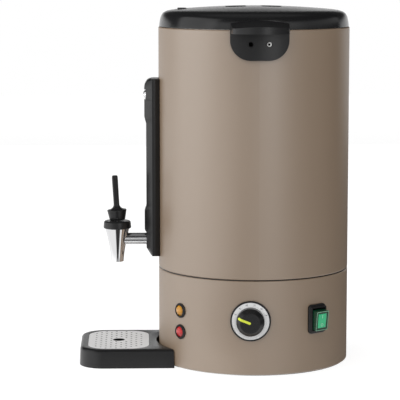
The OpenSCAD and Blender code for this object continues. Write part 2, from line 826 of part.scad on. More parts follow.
// A smooth route through hand-chosen points: each span is a Catmull-Rom curve.
function spline(p, n = 5) = concat([for (i = [0 : len(p) - 2], j = [0 : n - 1])
  let (t = j / n, a = p[max(i - 1, 0)], b = p[i], c = p[i + 1], d = p[min(i + 2, len(p) - 1)])
    0.5 * (2 * b + t * (c - a) + t * t * (2 * a - 5 * b + 4 * c - d)
           + t * t * t * (3 * b - a - 3 * c + d))], [p[len(p) - 1]]);

module thermostat_bulb() {
  bulb_x = 34;
  bulb_z = heater_z - bulb_d / 2 - seat_gap;
  bulb_end = -bulb_len / 2;
  body_top = dial_height + thermostat_h / 2 + seat_gap;
  end_x = thermostat_back_r + 10;
  color(brass) {
    translate([bulb_x, bulb_end, bulb_z]) rotate([-90, 0, 0])
      cylinder(d = bulb_d, h = bulb_len);
    tube(spline([[bulb_x, bulb_end + 1, bulb_z], [bulb_x, bulb_end - 4, bulb_z],
                 [bulb_x + 4, bulb_end - 12, bulb_z - 8],
                 [bulb_x + 22, bulb_end - 10, bulb_z - 20],
                 [bulb_x + 50, -32, bulb_z - 26], [end_x - 2, -20, bulb_z - 27],
                 [end_x, -12, body_top + 7], [end_x, -12, body_top]]),
         capillary_d);
  }
}

module terminal_block() {
  color(silicone) translate([-68, 26, plate_top]) cube([22, 46, 16]);
  color(brass) for (y = [34 : 15 : 64])
    translate([-57, y, plate_top + 15.5]) cylinder(d = 5, h = 3);
}

// A point at radius r in the direction angle, moved along the wall by side.
function around(angle, r, side, z) =
  [r * cos(angle) - side * sin(angle), r * sin(angle) + side * cos(angle), z];

// Leads: terminal block to switch, switch to thermostat, thermostat to thermal cut-out,
// cut-out to element, and element back to the terminal block.
module wiring() {
  wire_gap = 0.3;
  block_x = -46 + wire_gap;
  low = plate_top + 8;
  switch_back = body_r - switch_depth - blade_len - wire_gap;
  dial_back = thermostat_back_r - blade_len - wire_gap;
  pin_low = element_z - element_leg - element_pin - wire_gap;
  blade_z = heater_z - cutout_h - cutout_blade - wire_gap;
  pin_x = element_ring_r * cos(element_gap);
  pin_y = element_ring_r * sin(element_gap);
  routes = [
    [[block_x, 38, low], [block_x + 12, 38, low], [0, 46, low + 6], [44, 48, low + 24],
     around(switch_angle, switch_back - 14, 0, switch_height - 7),
     around(switch_angle, switch_back, 0, switch_height - 7)],
    [around(switch_angle, switch_back, 0, switch_height + 7),
     around(switch_angle, switch_back - 16, 0, switch_height + 7),
     [72, 30, switch_height + 4], [70, 12, dial_height + 2],
     around(dial_angle, dial_back - 14, 8, dial_height),
     around(dial_angle, dial_back, 8, dial_height)],
    [around(dial_angle, dial_back, -8, dial_height),
     around(dial_angle, dial_back - 16, -8, dial_height),
     [58, -16, dial_height + 14], [36, -14, blade_z - 26], [10, -4, blade_z - 16],
     [cutout_d / 4, 0, blade_z - 6], [cutout_d / 4, 0, blade_z]],
    [[-cutout_d / 4, 0, blade_z], [-cutout_d / 4, 0, blade_z - 6],
     [4, 16, blade_z - 22], [36, 24, blade_z - 26], [pin_x - 6, pin_y + 4, pin_low - 14],
     [pin_x, pin_y, pin_low - 6], [pin_x, pin_y, pin_low]],
    [[pin_x, -pin_y, pin_low], [pin_x, -pin_y, pin_low - 6], [54, -30, pin_low - 34],
     [10, -20, low + 30], [-26, 20, low + 12], [block_x + 12, 56, low],
     [block_x, 56, low]]];
  color([0.35, 0.33, 0.30]) for (route = routes) tube(spline(route, 4), wire_d, 6);
}

module cord_gland() {
  color(black) facing(gland_angle, gland_height) difference() {
    union() {
      translate([0, 0, body_r - 9]) cylinder(d = gland_d, h = 14);
      translate([0, 0, body_r + seat_gap]) hex(1.4 * gland_d, 5);
    }
    translate([0, 0, body_r - 10]) cylinder(d = gland_bore, h = 30);
  }
}

module gland_cap() {
  color(black) facing(gland_angle, gland_height) difference() {
    union() {
      translate([0, 0, body_r + seat_gap + 5]) cylinder(d = 1.3 * gland_d, h = 8);
      translate([0, 0, body_r + seat_gap + 13])
        cylinder(d1 = 1.3 * gland_d, d2 = gland_bore + 5, h = 4);
    }
    translate([0, 0, body_r]) cylinder(d = gland_bore, h = 20);
  }
}

module gland_nut() {
  color(black) facing(gland_angle, gland_height)
    translate([0, 0, body_r - housing_t - 5.9]) difference() {
      hex(1.4 * gland_d, 5);
      translate([0, 0, -1]) cylinder(r = gland_d / 2 + shaft_gap, h = 8);
    }
}

// ---- Controls ----

module dial_rim() {
  color(black) difference() {
    facing(dial_angle, dial_height) translate([0, 0, body_r - 6])
      cylinder(d = dial_rim_d, h = dial_rim_h + 6);
    facing(dial_angle, dial_height) {
      translate([0, 0, dial_seat_r]) cylinder(r = dial_face_d / 2 + seat_gap, h = 8);
      translate([0, 0, body_r - 10]) cylinder(d = 18, h = 30);
    }
    body_space();
  }
}

module dial_face() {
  color([0.93, 0.93, 0.93]) facing(dial_angle, dial_height)
    translate([0, 0, dial_seat_r]) ring(dial_face_d / 2, 9, dial_face_t);
}

// The knob's solid of revolution, grown by extra all round.
module knob_form(extra) {
  rotate_extrude() polygon([
    [0, -extra], [knob_d / 2 + extra, -extra], [knob_d / 2 - 0.5 + extra, knob_mid_h],
    [knob_face_d / 2 + 1 + extra, knob_h - 0.6], [knob_face_d / 2 + extra, knob_h + extra],
    [0, knob_h + extra]]);
}

// The strip over the knob's face and bevel that holds the pointer.
module pointer_strip(deep, high) {
  intersection() {
    rotate([0, 0, pointer_angle]) translate([0, 0, knob_mid_h - 1]) {
      translate([pointer_start, -pointer_w / 2, 0]) cube([knob_d, pointer_w, knob_h]);
      translate([pointer_start, 0, 0]) cylinder(d = pointer_w, h = knob_h);
    }
    difference() {
      knob_form(high);
      knob_form(-deep);
    }
  }
}

module knob() {
  color(black) facing(dial_angle, dial_height) translate([0, 0, knob_seat_r]) difference() {
    knob_form(0);
    pointer_strip(groove_depth, 1);
    translate([0, 0, -1]) cylinder(r = spindle_d / 2 + shaft_gap, h = spindle_len + 1);
  }
}

module knob_pointer() {
  color([0.80, 0.88, 0.25]) facing(dial_angle, dial_height)
    translate([0, 0, knob_seat_r]) pointer_strip(groove_depth, pointer_proud);
}

module lamp_bezels() {
  color(black) for (z = [lamp_high_z, lamp_low_z]) difference() {
    facing(lamp_angle, housing_z + z) translate([0, 0, body_r - 2]) difference() {
      union() {
        cylinder(d = lamp_d, h = 2 + lamp_out / 2);
        translate([0, 0, 2 + lamp_out / 2])
          cylinder(d1 = lamp_d, d2 = lens_d + 2, h = lamp_out / 2);
      }
      translate([0, 0, -1]) cylinder(r = lens_d / 2 + seat_gap, h = 8);
    }
    body_space();
  }
}

module lens(z) {
  dome_r = (pow(lens_d / 2, 2) + pow(lens_out - 1, 2)) / (2 * (lens_out - 1));
  facing(lamp_angle, housing_z + z) {
    translate([0, 0, body_r + 0.3]) cylinder(d = lens_d, h = 0.7);
    intersection() {
      translate([0, 0, body_r + lens_out - dome_r]) sphere(r = dome_r);
      translate([0, 0, body_r + 0.9]) cylinder(d = lens_d, h = lens_out);
    }
  }
}

module amber_lens() {
  color([0.85, 0.58, 0.20]) lens(lamp_high_z);
}

module red_lens() {
  color([0.78, 0.16, 0.16]) lens(lamp_low_z);
}

module lamp_bodies() {
  color(silicone) for (z = [lamp_high_z, lamp_low_z])
    facing(lamp_angle, housing_z + z) {
      translate([0, 0, body_r - lamp_body_len]) cylinder(d = lamp_body_d, h = lamp_body_len);
      for (side = [-1, 1])
        translate([side * 2.5 - 0.4, -1.4, body_r - lamp_body_len - 7]) cube([0.8, 2.8, 8]);
    }
}

module lamp_nuts() {
  color(zinc) for (z = [lamp_high_z, lamp_low_z])
    facing(lamp_angle, housing_z + z) translate([0, 0, body_r - housing_t - 4.5])
      difference() {
        cylinder(d = lamp_body_d + 6, h = 4);
        translate([0, 0, -1]) cylinder(r = lamp_body_d / 2 + shaft_gap, h = 6);
      }
}

function switch_cavity_w() = rocker_w + 0.8;
function switch_cavity_h() = rocker_h + 3.6;
function switch_body_w() = switch_cavity_w() + 2 * switch_wall;
function switch_body_h() = switch_cavity_h() + 2 * switch_wall;

module switch_frame() {
  color(black) difference() {
    facing(switch_angle, switch_height) difference() {
      union() {
        translate([0, 0, body_r - 2]) linear_extrude(2 + frame_out - 1)
          polygon(round_rect(switch_w, switch_h, 5));
        translate([0, 0, body_r + frame_out - 1]) linear_extrude(1)
          polygon(round_rect(switch_w - 1.4, switch_h - 1.4, 4.3));
        translate([0, 0, body_r]) linear_extrude(collar_out)
          polygon(round_rect(switch_body_w() + 0.8, switch_body_h() + 0.8, 2.2));
      }
      translate([0, 0, body_r - 4]) linear_extrude(frame_out + 1.4)
        square([switch_body_w() + 2 * seat_gap, switch_body_h() + 2 * seat_gap],
               center = true);
      translate([0, 0, body_r - 4]) linear_extrude(20)
        square([switch_cavity_w(), switch_cavity_h()], center = true);
    }
    body_space();
  }
}

module switch_body() {
  color(black) facing(switch_angle, switch_height) difference() {
    translate([0, 0, body_r - switch_depth]) linear_extrude(switch_depth)
      square([switch_body_w(), switch_body_h()], center = true);
    translate([0, 0, rocker_pivot - 8]) linear_extrude(20)
      square([switch_cavity_w(), switch_cavity_h()], center = true);
    translate([0, 0, rocker_pivot]) rotate([0, 90, 0])
      cylinder(r = rocker_pin_d / 2 + shaft_gap, h = switch_body_w() + 2, center = true);
  }
  color(brass) facing(switch_angle, switch_height) for (y = [-7, 7])
    translate([-2.4, y - 0.4, body_r - switch_depth - blade_len])
      cube([4.8, 0.8, blade_len]);
}

// A block that tilts on two stub pins, with a raised rim round its pale face.
module rocker() {
  face = rocker_out + body_r - rocker_pivot;
  color([0.20, 0.62, 0.42]) facing(switch_angle, switch_height)
    translate([0, 0, rocker_pivot]) rotate([rocker_tilt, 0, 0]) {
      difference() {
        union() {
          translate([0, 0, -2]) linear_extrude(4) square([rocker_w, 16], center = true);
          translate([0, 0, 1.9]) linear_extrude(face - 1.9)
            polygon(round_rect(rocker_w, rocker_h, 1.5, 3));
        }
        translate([0, 0, face - 0.8]) linear_extrude(2)
          polygon(round_rect(rocker_w - 3.2, rocker_h - 3.2, 1, 3));
      }
      rotate([0, 90, 0])
        cylinder(d = rocker_pin_d, h = switch_cavity_w() + 2 * switch_wall - 0.4,
                 center = true);
    }
}

// ---- Side handles ----

// Plan of the grip ledge, inset all round: flanks that draw together, rounded corners and
// a front that is an arc.
function ledge_plan(inset) =
  let (hw = handle_w / 2 - inset, r = ledge_front_r - inset, q = ledge_round - inset,
       ax = ledge_front - ledge_front_r,
       cx = ax + sqrt(pow(r - q, 2) - pow(hw - q, 2)),
       turn = atan2(hw - q, cx - ax))
    [for (p = concat([[body_r - 20, hw], [body_r - 20, -hw]],
                     arc([cx, q - hw], q, -90, -turn),
                     arc([ax, 0], r, -turn, turn, 18),
                     arc([cx, hw - q], q, turn, 90)))
      [p[0], p[1] * (1 - ledge_taper / handle_w * max(p[0] - body_r, 0) / ledge_reach)]];

// Everything below the handle's sloping, arched top, lowered by down.
module under_arch(down) {
  slope = atan(ledge_fall / ledge_reach);
  translate([body_r, 0, handle_top_z - down]) rotate([0, slope, 0])
    translate([0, 0, -arch_r]) rotate([0, 90, 0])
      cylinder(r = arch_r, h = 4 * ledge_reach, center = true);
}

module side_handle() {
  plate_h = handle_drop + handle_rise + 10;
  difference() {
    intersection() {
      union() {
        intersection() {
          translate([0, 0, handle_low_z]) cylinder(r = handle_out_r, h = plate_h);
          translate([body_r - 20, 0, handle_low_z + plate_h / 2]) rotate([90, 0, 90])
            linear_extrude(40) polygon(concat(
              arc([handle_round - handle_w / 2, handle_round - plate_h / 2],
                  handle_round, 180, 270, 9),
              arc([handle_w / 2 - handle_round, handle_round - plate_h / 2],
                  handle_round, 270, 360, 9),
              [[handle_w / 2, plate_h / 2], [-handle_w / 2, plate_h / 2]]));
        }
        translate([0, 0, ledge_z]) linear_extrude(plate_h) polygon(ledge_plan(0));
      }
      under_arch(0);
    }
    translate([0, 0, handle_low_z - 1]) cylinder(r = handle_in_r, h = plate_h + 40);
    difference() {
      intersection() {
        translate([0, 0, ledge_z - 1]) linear_extrude(plate_h)
          polygon(ledge_plan(ledge_wall));
        under_arch(ledge_wall);
      }
      translate([0, 0, handle_low_z]) cylinder(r = handle_out_r, h = plate_h);
    }
    for (side = [-1, 1]) facing(0, handle_screw_z)
      translate([side * handle_screw_gap / 2, 0, 0]) {
        translate([0, 0, body_r - 10]) cylinder(d = handle_screw_d + 2 * hole_gap, h = 30);
        translate([0, 0, head_seat_r]) cylinder(d = handle_head_d + 1, h = 20);
      }
  }
}

module handle_right() {
  color(black) side_handle();
}

module handle_left() {
  color(black) rotate([0, 0, 180]) side_handle();
}

module handle_screws() {
  color(steel) for (a = [0, 180], side = [-1, 1])
    facing(a, handle_screw_z) translate([side * handle_screw_gap / 2, 0, 0]) difference() {
      union() {
        translate([0, 0, screw_end_r]) cylinder(d = handle_screw_d, h = head_seat_r - screw_end_r + 1);
        translate([0, 0, head_seat_r]) cylinder(d = handle_head_d, h = head_h);
      }
      translate([0, 0, head_seat_r + head_h - 1.4])
        cylinder(d = 0.45 * handle_head_d, h = 3, $fn = 6);
    }
}

// ---- Level gauge ----

// The column's outer form in the front's frame, inset by inset: a bevelled plan cut by
// the side view with its two bosses.
module column_form(inset) {
  hw = column_w / 2 - inset;
  side = column_side_r - inset * (sqrt(2) - 1);
  face = column_front_r - inset;
  boss = boss_r - inset;
  low = column_z + inset;
  top = column_top - inset;
  bevel = boss - side;
  intersection() {
    translate([0, 0, low]) linear_extrude(top - low) polygon([
      [body_r - 4, -hw], [side, -hw], [boss, bevel - hw],
      [boss, hw - bevel], [side, hw], [body_r - 4, hw]]);
    translate([0, column_w, 0]) rotate([90, 0, 0]) linear_extrude(2 * column_w) polygon([
      [body_r - 4, low], [side, low], [face, low + face - side],
      [face, low_boss_z + inset], [boss, low_boss_z + 5 + inset],
      [boss, low_boss_z + low_boss_h - inset], [face, low_boss_z + low_boss_h + 7 - inset],
      [face, high_boss_z + inset], [boss, high_boss_z + 10 + inset],
      [boss, top - 15], [face, top - 7], [side - 2, top], [body_r - 4, top]]);
  }
}

module gauge_column() {
  web_z = tube_top - 2 * seat_h;
  color(black) front() difference() {
    union() {
      difference() {
        column_form(0);
        column_form(column_wall);
      }
      intersection() {
        column_form(0);
        union() {
          translate([body_r - 4, -column_w / 2, web_z])
            cube([column_front, column_w, seat_h]);
          translate([body_r - 4, 0, column_screw_z]) rotate([0, 90, 0])
            cylinder(d = column_screw_d + 6, h = column_front + 4);
        }
      }
    }
    translate([tube_r, -slot_w / 2, slot_z])
      cube([column_front, slot_w, slot_top - slot_z]);
    translate([tube_r, 0, web_z - 1])
      cylinder(r = tube_d / 2 + seat_wall + 2 * seat_gap, h = seat_h + 2);
    translate([body_r - 10, 0, tap_z]) rotate([0, 90, 0])
      cylinder(r = shank_r + hole_gap, h = 60);
    translate([body_r - 10, 0, column_screw_z]) rotate([0, 90, 0])
      cylinder(d = column_screw_d + 2 * hole_gap, h = 60);
    translate([boss_r - head_notch, -column_w / 2, column_screw_z - column_head_d / 2 - 0.8])
      cube([column_front, column_w, column_head_d + 1.6]);
    body_space();
  }
}

module gauge_tube() {
  color([0.85, 0.90, 0.92, 0.5]) front() translate([tube_r, 0, tube_z])
    ring(tube_d / 2, tube_d / 2 - tube_wall, tube_top - tube_z);
}

module gauge_lower_seat() {
  color(silicone) front() translate([tube_r, 0, tube_z + 1])
    ring(tube_d / 2 + seat_wall, tube_d / 2 + seat_gap, seat_h);
}

module gauge_upper_seat() {
  color(silicone) front() translate([tube_r, 0, tube_top - 2 * seat_h - 1]) difference() {
    cylinder(r = tube_d / 2 + seat_wall, h = 2 * seat_h + 3);
    translate([0, 0, -1]) cylinder(r = tube_d / 2 + seat_gap, h = 2 * seat_h + 2.2);
  }
}

// The block on the shank that feeds the gauge tube.
module gauge_manifold() {
  deep = tube_r + tube_d / 2 + seat_wall + 1 - handle_in_r;
  low = tap_z - shank_r - 4;
  color(brass) front() difference() {
    translate([handle_in_r, -manifold_w / 2, low])
      cube([deep, manifold_w, tube_z + 1 + seat_h - low]);
    translate([body_r - 10, 0, tap_z]) rotate([0, 90, 0])
      cylinder(r = shank_r + seat_gap, h = 40);
    translate([tube_r, 0, tap_z])
      cylinder(r = tube_d / 2 - tube_wall, h = tube_z - tap_z + 1);
    translate([tube_r, 0, tube_z]) cylinder(r = tube_d / 2 + seat_gap, h = seat_h + 2);
    translate([tube_r, 0, tube_z + 1])
      cylinder(r = tube_d / 2 + seat_wall + seat_gap, h = seat_h + 2);
    body_space();
  }
}

module column_screw() {
  seat = boss_r - head_notch;
  dome_r = (pow(column_head_d / 2, 2) + pow(column_head_h, 2)) / (2 * column_head_h);
  color(chrome) front() translate([0, 0, column_screw_z]) rotate([0, 90, 0]) {
    translate([0, 0, screw_end_r]) cylinder(d = column_screw_d, h = seat + 1 - screw_end_r);
    intersection() {
      translate([0, 0, seat + column_head_h - dome_r]) sphere(r = dome_r);
      translate([0, 0, seat]) cylinder(d = column_head_d, h = column_head_h + 1);
    }
  }
}

// ---- Tap ----

module tap_shank() {
  inner_end = inner_seal_r - seal_ring_t - nut_h - 3;
  flange = vessel_outer_r + 0.2 + seal_ring_t;
  color(chrome) front() translate([0, 0, tap_z]) rotate([0, 90, 0]) difference() {
    union() {
      translate([0, 0, inner_end]) cylinder(r = shank_r, h = shank_tip - inner_end);
      translate([0, 0, flange]) cylinder(r = shank_r + 3.6, h = 2);
    }
    translate([0, 0, inner_end - 1]) cylinder(d = shank_bore, h = shank_tip);
    translate([-shank_r - 2, 0, tube_r]) rotate([0, 90, 0])
      cylinder(r = tube_d / 2 - tube_wall, h = shank_r + 2);
  }
}

module shank_nut() {
  color(steel) front() translate([inner_seal_r - seal_ring_t - nut_h, 0, tap_z])
    rotate([0, 90, 0]) difference() {
      hex(24, nut_h);
      translate([0, 0, -1]) cylinder(r = shank_r + shaft_gap, h = nut_h + 2);
    }
}

module shank_seals() {
  color(rubber) front() for (x = [inner_seal_r - seal_ring_t, vessel_outer_r + 0.2])
    translate([x, 0, tap_z]) rotate([0, 90, 0])
      ring(shank_r + 3.6, shank_r + seat_gap, seal_ring_t);
}

// The tap body opens upwards from the spout in a hollow curve.
module tap_body() {
  steps = 8;
  spread = (tap_top_d - spout_d) / 2;
  color(chrome) front() difference() {
    translate([tap_r, 0, 0]) rotate_extrude() polygon(concat(
      [[spout_bore / 2, spout_z]],
      [for (i = [0 : steps]) [spout_d / 2 + spread * pow(i / steps, tap_flare),
                              spout_z + (tap_top - spout_z) * i / steps]],
      [[chamber_r, tap_top], [chamber_r, chamber_z], [spout_bore / 2, chamber_z]]));
    translate([tap_r - 2 * chamber_d, 0, tap_z]) rotate([0, 90, 0])
      cylinder(r = shank_r + shaft_gap, h = 2 * chamber_d - chamber_r + 0.5);
  }
}

module tap_bonnet() {
  color(black) front() translate([tap_r, 0, 0]) rotate_extrude() polygon([
    [pocket_r, bonnet_plug_z], [bonnet_plug_r, bonnet_plug_z],
    [bonnet_plug_r, bonnet_z], [bonnet_d / 2 - 0.6, bonnet_z],
    [bonnet_d / 2, bonnet_z + 1.4], [bonnet_d / 2 - 0.8, bonnet_top - 1.4],
    [bonnet_d / 2 - 2, bonnet_top], [stem_d / 2 + shaft_gap, bonnet_top],
    [stem_d / 2 + shaft_gap, pocket_top], [pocket_r, pocket_top]]);
}

module tap_spring() {
  per_turn = 12;
  coil_r = (stem_d / 2 + pocket_r) / 2 + 0.4;
  low = spring_z + spring_wire / 2;
  high = pocket_top - seat_gap - spring_wire / 2;
  steps = spring_turns * per_turn;
  color(steel) front() translate([tap_r, 0, 0])
    tube([for (i = [0 : steps]) [coil_r * cos(360 * i / per_turn),
                                 coil_r * sin(360 * i / per_turn),
                                 low + (high - low) * i / steps]], spring_wire, 6);
}

module tap_stem() {
  color(steel) front() translate([tap_r, 0, 0]) difference() {
    union() {
      translate([0, 0, cup_z + 3]) cylinder(d = stem_d, h = pin_z + stem_over - cup_z - 3);
      translate([0, 0, cup_top]) cylinder(r = pocket_r - 0.5, h = stem_flange_h);
    }
    translate([0, 0, pin_z]) rotate([90, 0, 0])
      cylinder(r = pin_d / 2 + shaft_gap, h = 20, center = true);
  }
}

module seat_cup() {
  color(silicone) front() translate([tap_r, 0, cup_z]) difference() {
    cylinder(d = cup_d, h = cup_h);
    translate([0, 0, 2.8]) cylinder(r = stem_d / 2 + shaft_gap, h = cup_h);
  }
}

// The lever about its pin: a foot that widens upwards, a hollow flare and a flat stick.
module lever_form() {
  top = lever_foot_h - lever_foot_z;
  foot_r = lever_foot_d / 2;
  top_r = lever_top_d / 2;
  neck = lever_t / 2 + 1.2;
  rotate_extrude() polygon(concat(
    [[0, -lever_foot_z], [foot_r - 1.2, -lever_foot_z], [foot_r, 1.2 - lever_foot_z],
     [top_r, top - 0.8], [top_r - 0.8, top]],
    arc([top_r - 0.8, top + 8], 8, 265, 195, 6),
    [[0, top + 10]]));
  intersection() {
    translate([-lever_t / 2, 0, 0]) rotate([90, 0, 90]) linear_extrude(lever_t)
      polygon(concat([[-lever_stick_w / 2, top - 2], [lever_stick_w / 2, top - 2]],
                     arc([lever_w / 2 - 2.5, lever_len - 2.5], 2.5, 0, 90, 4),
                     arc([2.5 - lever_w / 2, lever_len - 2.5], 2.5, 90, 180, 4)));
    translate([0, lever_w, 0]) rotate([90, 0, 0]) linear_extrude(2 * lever_w)
      polygon(concat([[-neck, 0], [neck, 0], [lever_t / 2, top + 12]],
                     arc([0, lever_len - lever_t / 2], lever_t / 2, 25, 155, 6),
                     [[-lever_t / 2, top + 12]]));
  }
}

module tap_lever() {
  slot_w_stem = stem_d + 0.3;
  color(black) front() translate([tap_r, 0, pin_z]) rotate([0, lever_lean, 0])
    difference() {
      lever_form();
      translate([-slot_back, -slot_w_stem / 2, -lever_foot_z - 1])
        cube([slot_back + slot_front, slot_w_stem, lever_foot_z + 1 + stem_over + 1.8]);
      rotate([90, 0, 0]) cylinder(r = pin_d / 2 + 0.02, h = 2 * lever_top_d, center = true);
    }
}

module lever_pin() {
  color(steel) front() translate([tap_r, 0, pin_z]) rotate([90, 0, 0])
    cylinder(d = pin_d, h = lever_foot_d + 1.2, center = true);
}

// ---- Lid ----

// The lid's outline from its middle to its lower edge, inset by inset: a shallow crown,
// an elliptical shoulder and a leaning edge.
function lid_outline(inset) = concat(
  [for (i = [0 : 6]) let (r = shoulder_r * i / 6)
    [r, rim_z + lid_h - inset - crown_drop * pow(i / 6, 2)]],
  [for (a = [75 : -15 : 0]) [shoulder_r + (shoulder_w - inset) * cos(a),
                             rim_z + lid_edge_h + (shoulder_h - inset) * sin(a)]],
  [[lid_r - inset, lid_z]]);

// Height of the lid's inner face at radius r.
function lid_ceiling(r) = r <= shoulder_r
  ? rim_z + lid_h - lid_wall - crown_drop * pow(r / shoulder_r, 2)
  : rim_z + lid_edge_h + (shoulder_h - lid_wall)
    * sqrt(1 - pow((r - shoulder_r) / (shoulder_w - lid_wall), 2));

function lid_top(r) = rim_z + lid_h - crown_drop * pow(r / shoulder_r, 2);

module lid_solid() {
  rotate_extrude() polygon(concat(lid_outline(0), [[0, lid_z]]));
}

module lid_shell() {
  well_z = rim_z + lid_h - well_depth;
  vent_z = lid_top(vent_r + vent_d / 2) - 1 - vent_t;
  color(black) difference() {
    union() {
      rotate_extrude() polygon(concat(lid_outline(0), reversed(lid_outline(lid_wall))));
      rotate_extrude() polygon([
        [seal_r - 2, seal_top + seat_gap], [seal_r + 2, seal_top + seat_gap],
        [seal_r + 2, lid_ceiling(seal_r + 2) + 1], [seal_r - 2, lid_ceiling(seal_r) + 1]]);
      intersection() {
        lid_solid();
        for (side = [-1, 1]) translate([0, side * well_y, well_z - well_wall])
          linear_extrude(well_depth + 10)
            polygon(round_rect(well_len + 2 * well_wall, well_w + 2 * well_wall,
                               well_round + well_wall));
      }
      intersection() {
        lid_solid();
        translate([0, -vent_r, vent_z - 1])
          cylinder(d = vent_d + 2 * seat_gap + 3, h = 20);
      }
    }
    for (side = [-1, 1]) translate([0, side * well_y, well_z])
      linear_extrude(well_depth + 10) polygon(round_rect(well_len, well_w, well_round));
    translate([0, -vent_r, vent_z]) cylinder(r = vent_d / 2 + seat_gap, h = 20);
    translate([0, -vent_r, vent_z - 3]) cylinder(r = vent_d / 2 - 1.5, h = 20);
  }
}

// The plug under the lid, with three lugs that turn below the mouth ring's tabs.
module lid_pan() {
  floor_z = rim_z - plug_depth;
  vent_z = lid_top(vent_r + vent_d / 2) - 2 - vent_t;
  wall_top = min(lid_ceiling(plug_r) - 0.2, vent_z - 0.3);
  color(black) difference() {
    union() {
      rotate_extrude() polygon([
        [0, floor_z], [plug_r, floor_z], [plug_r, wall_top], [plug_r - plug_t, wall_top],
        [plug_r - plug_t, floor_z + plug_t], [0, floor_z + plug_t]]);
      for (a = tab_angles)
        rotate([0, 0, a + lug_turn - lug_angle / 2]) rotate_extrude(angle = lug_angle)
          translate([plug_r - 1, lug_top - lug_h]) square([lug_r - plug_r + 1, lug_h]);
    }
    for (x = [-16 : 8 : 16])
      translate([x, -88, floor_z - 1]) cylinder(d = 4, h = plug_t + 2);
  }
}

module lid_seal() {
  color(silicone) translate([0, 0, mouth_top + seat_gap])
    ring(seal_r + seal_w / 2, seal_r - seal_w / 2, seal_h - seat_gap);
}

module steam_vent() {
  vent_z = lid_top(vent_r + vent_d / 2) - 1 - vent_t;
  color(black) translate([0, -vent_r, vent_z]) difference() {
    cylinder(d = vent_d, h = vent_t);
    for (x = [-4 : 4 : 4]) translate([x - 0.9, -4.5, -1]) cube([1.8, 9, vent_t + 2]);
  }
}

// ---- Drip tray ----

// Plan of the tray in the front's frame, inset all round but not at the body.
function tray_plan(inset) =
  let (hw = tray_w / 2 - inset, r = max(tray_round - inset, 1), f = tray_front - inset)
    concat([[body_r / 2, -hw]], arc([f - r, r - hw], r, -90, 0, 8),
           arc([f - r, hw - r], r, 0, 90, 8), [[body_r / 2, hw]]);

module tray_back(extra) {
  translate([0, 0, -1]) cylinder(r = tray_back_r + extra, h = tray_h + 20);
  translate([body_r + tray_notch - tray_notch_r, 0, -1])
    cylinder(r = tray_notch_r + extra, h = tray_h + 20);
}

module drip_tray() {
  color(black) front() difference() {
    hull() {
      linear_extrude(0.01) polygon(tray_plan(0));
      for (i = [0 : 4]) let (a = 90 * i / 4)
        translate([0, 0, tray_h - tray_edge + tray_edge * sin(a) - 0.01])
          linear_extrude(0.01) polygon(tray_plan(0.8 + tray_edge * (1 - cos(a))));
    }
    tray_back(0);
    difference() {
      translate([0, 0, -1]) linear_extrude(tray_h - tray_wall - 1.7 + 1)
        polygon(tray_plan(tray_wall + 1));
      tray_back(tray_wall);
      translate([grid_mid, 0, basin_z - tray_wall]) linear_extrude(tray_h)
        polygon(round_rect(basin_l + 2 * tray_wall, basin_w + 2 * tray_wall,
                           basin_round + tray_wall));
    }
    translate([grid_mid, 0, basin_z]) linear_extrude(tray_h)
      polygon(round_rect(basin_l, basin_w, basin_round));
    translate([grid_mid, 0, grid_z - seat_gap]) linear_extrude(tray_h)
      polygon(round_rect(grid_l + 2 * hole_gap, grid_w + 2 * hole_gap, grid_round));
  }
}

// True if a hole at p lies inside the grid's holed field and clear of the finger hole.
function in_field(p) =
  let (hl = grid_l / 2 - 5, hw = grid_w / 2 - 6, r = grid_round - 5,
       q = [max(abs(p[0]) - hl + r, 0), max(abs(p[1]) - hw + r, 0)])
    abs(p[0]) <= hl && abs(p[1]) <= hw && norm(q) <= r
    && norm(p) > (finger_d + hole_d) / 2 + 1.5;

module drip_grid() {
  rows = floor(grid_l / 2 / hole_pitch);
  columns = floor(grid_w / 2 / hole_pitch);
  color(steel) front() translate([grid_mid, 0, grid_z]) difference() {
    linear_extrude(grid_t) polygon(round_rect(grid_l, grid_w, grid_round));
    translate([0, 0, -1]) cylinder(d = finger_d, h = grid_t + 2);
    for (i = [-rows : rows], j = [-columns : columns])
      if ((i + j + 100) % 2 == 0 && in_field([(i + 0.5) * hole_pitch, j * hole_pitch]))
        translate([(i + 0.5) * hole_pitch, j * hole_pitch, -1])
          cylinder(d = hole_d, h = grid_t + 2, $fn = 24);
  }
}

base_housing();
base_plate();
rubber_feet();
foot_screws();
tie_rods();
tie_nuts();
joining_ring();
outer_jacket();
jacket_nuts();
inner_vessel();
mouth_ring();
heater_plate();
heating_element();
thermal_cutout();
thermostat_body();
thermostat_shaft();
thermostat_nut();
thermostat_bulb();
terminal_block();
wiring();
cord_gland();
gland_cap();
gland_nut();
dial_rim();
dial_face();
knob();
knob_pointer();
lamp_bezels();
amber_lens();
red_lens();
lamp_bodies();
lamp_nuts();
switch_frame();
switch_body();
rocker();
handle_right();
handle_left();
handle_screws();
gauge_column();
gauge_tube();
gauge_lower_seat();
gauge_upper_seat();
gauge_manifold();
column_screw();
tap_shank();
shank_nut();
shank_seals();
tap_body();
tap_bonnet();
tap_spring();
tap_stem();
seat_cup();
tap_lever();
lever_pin();
lid_shell();
lid_pan();
lid_seal();
steam_vent();
drip_tray();
drip_grid();
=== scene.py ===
"""The looks of a hot water urn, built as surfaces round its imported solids."""

import functools
import json
import math

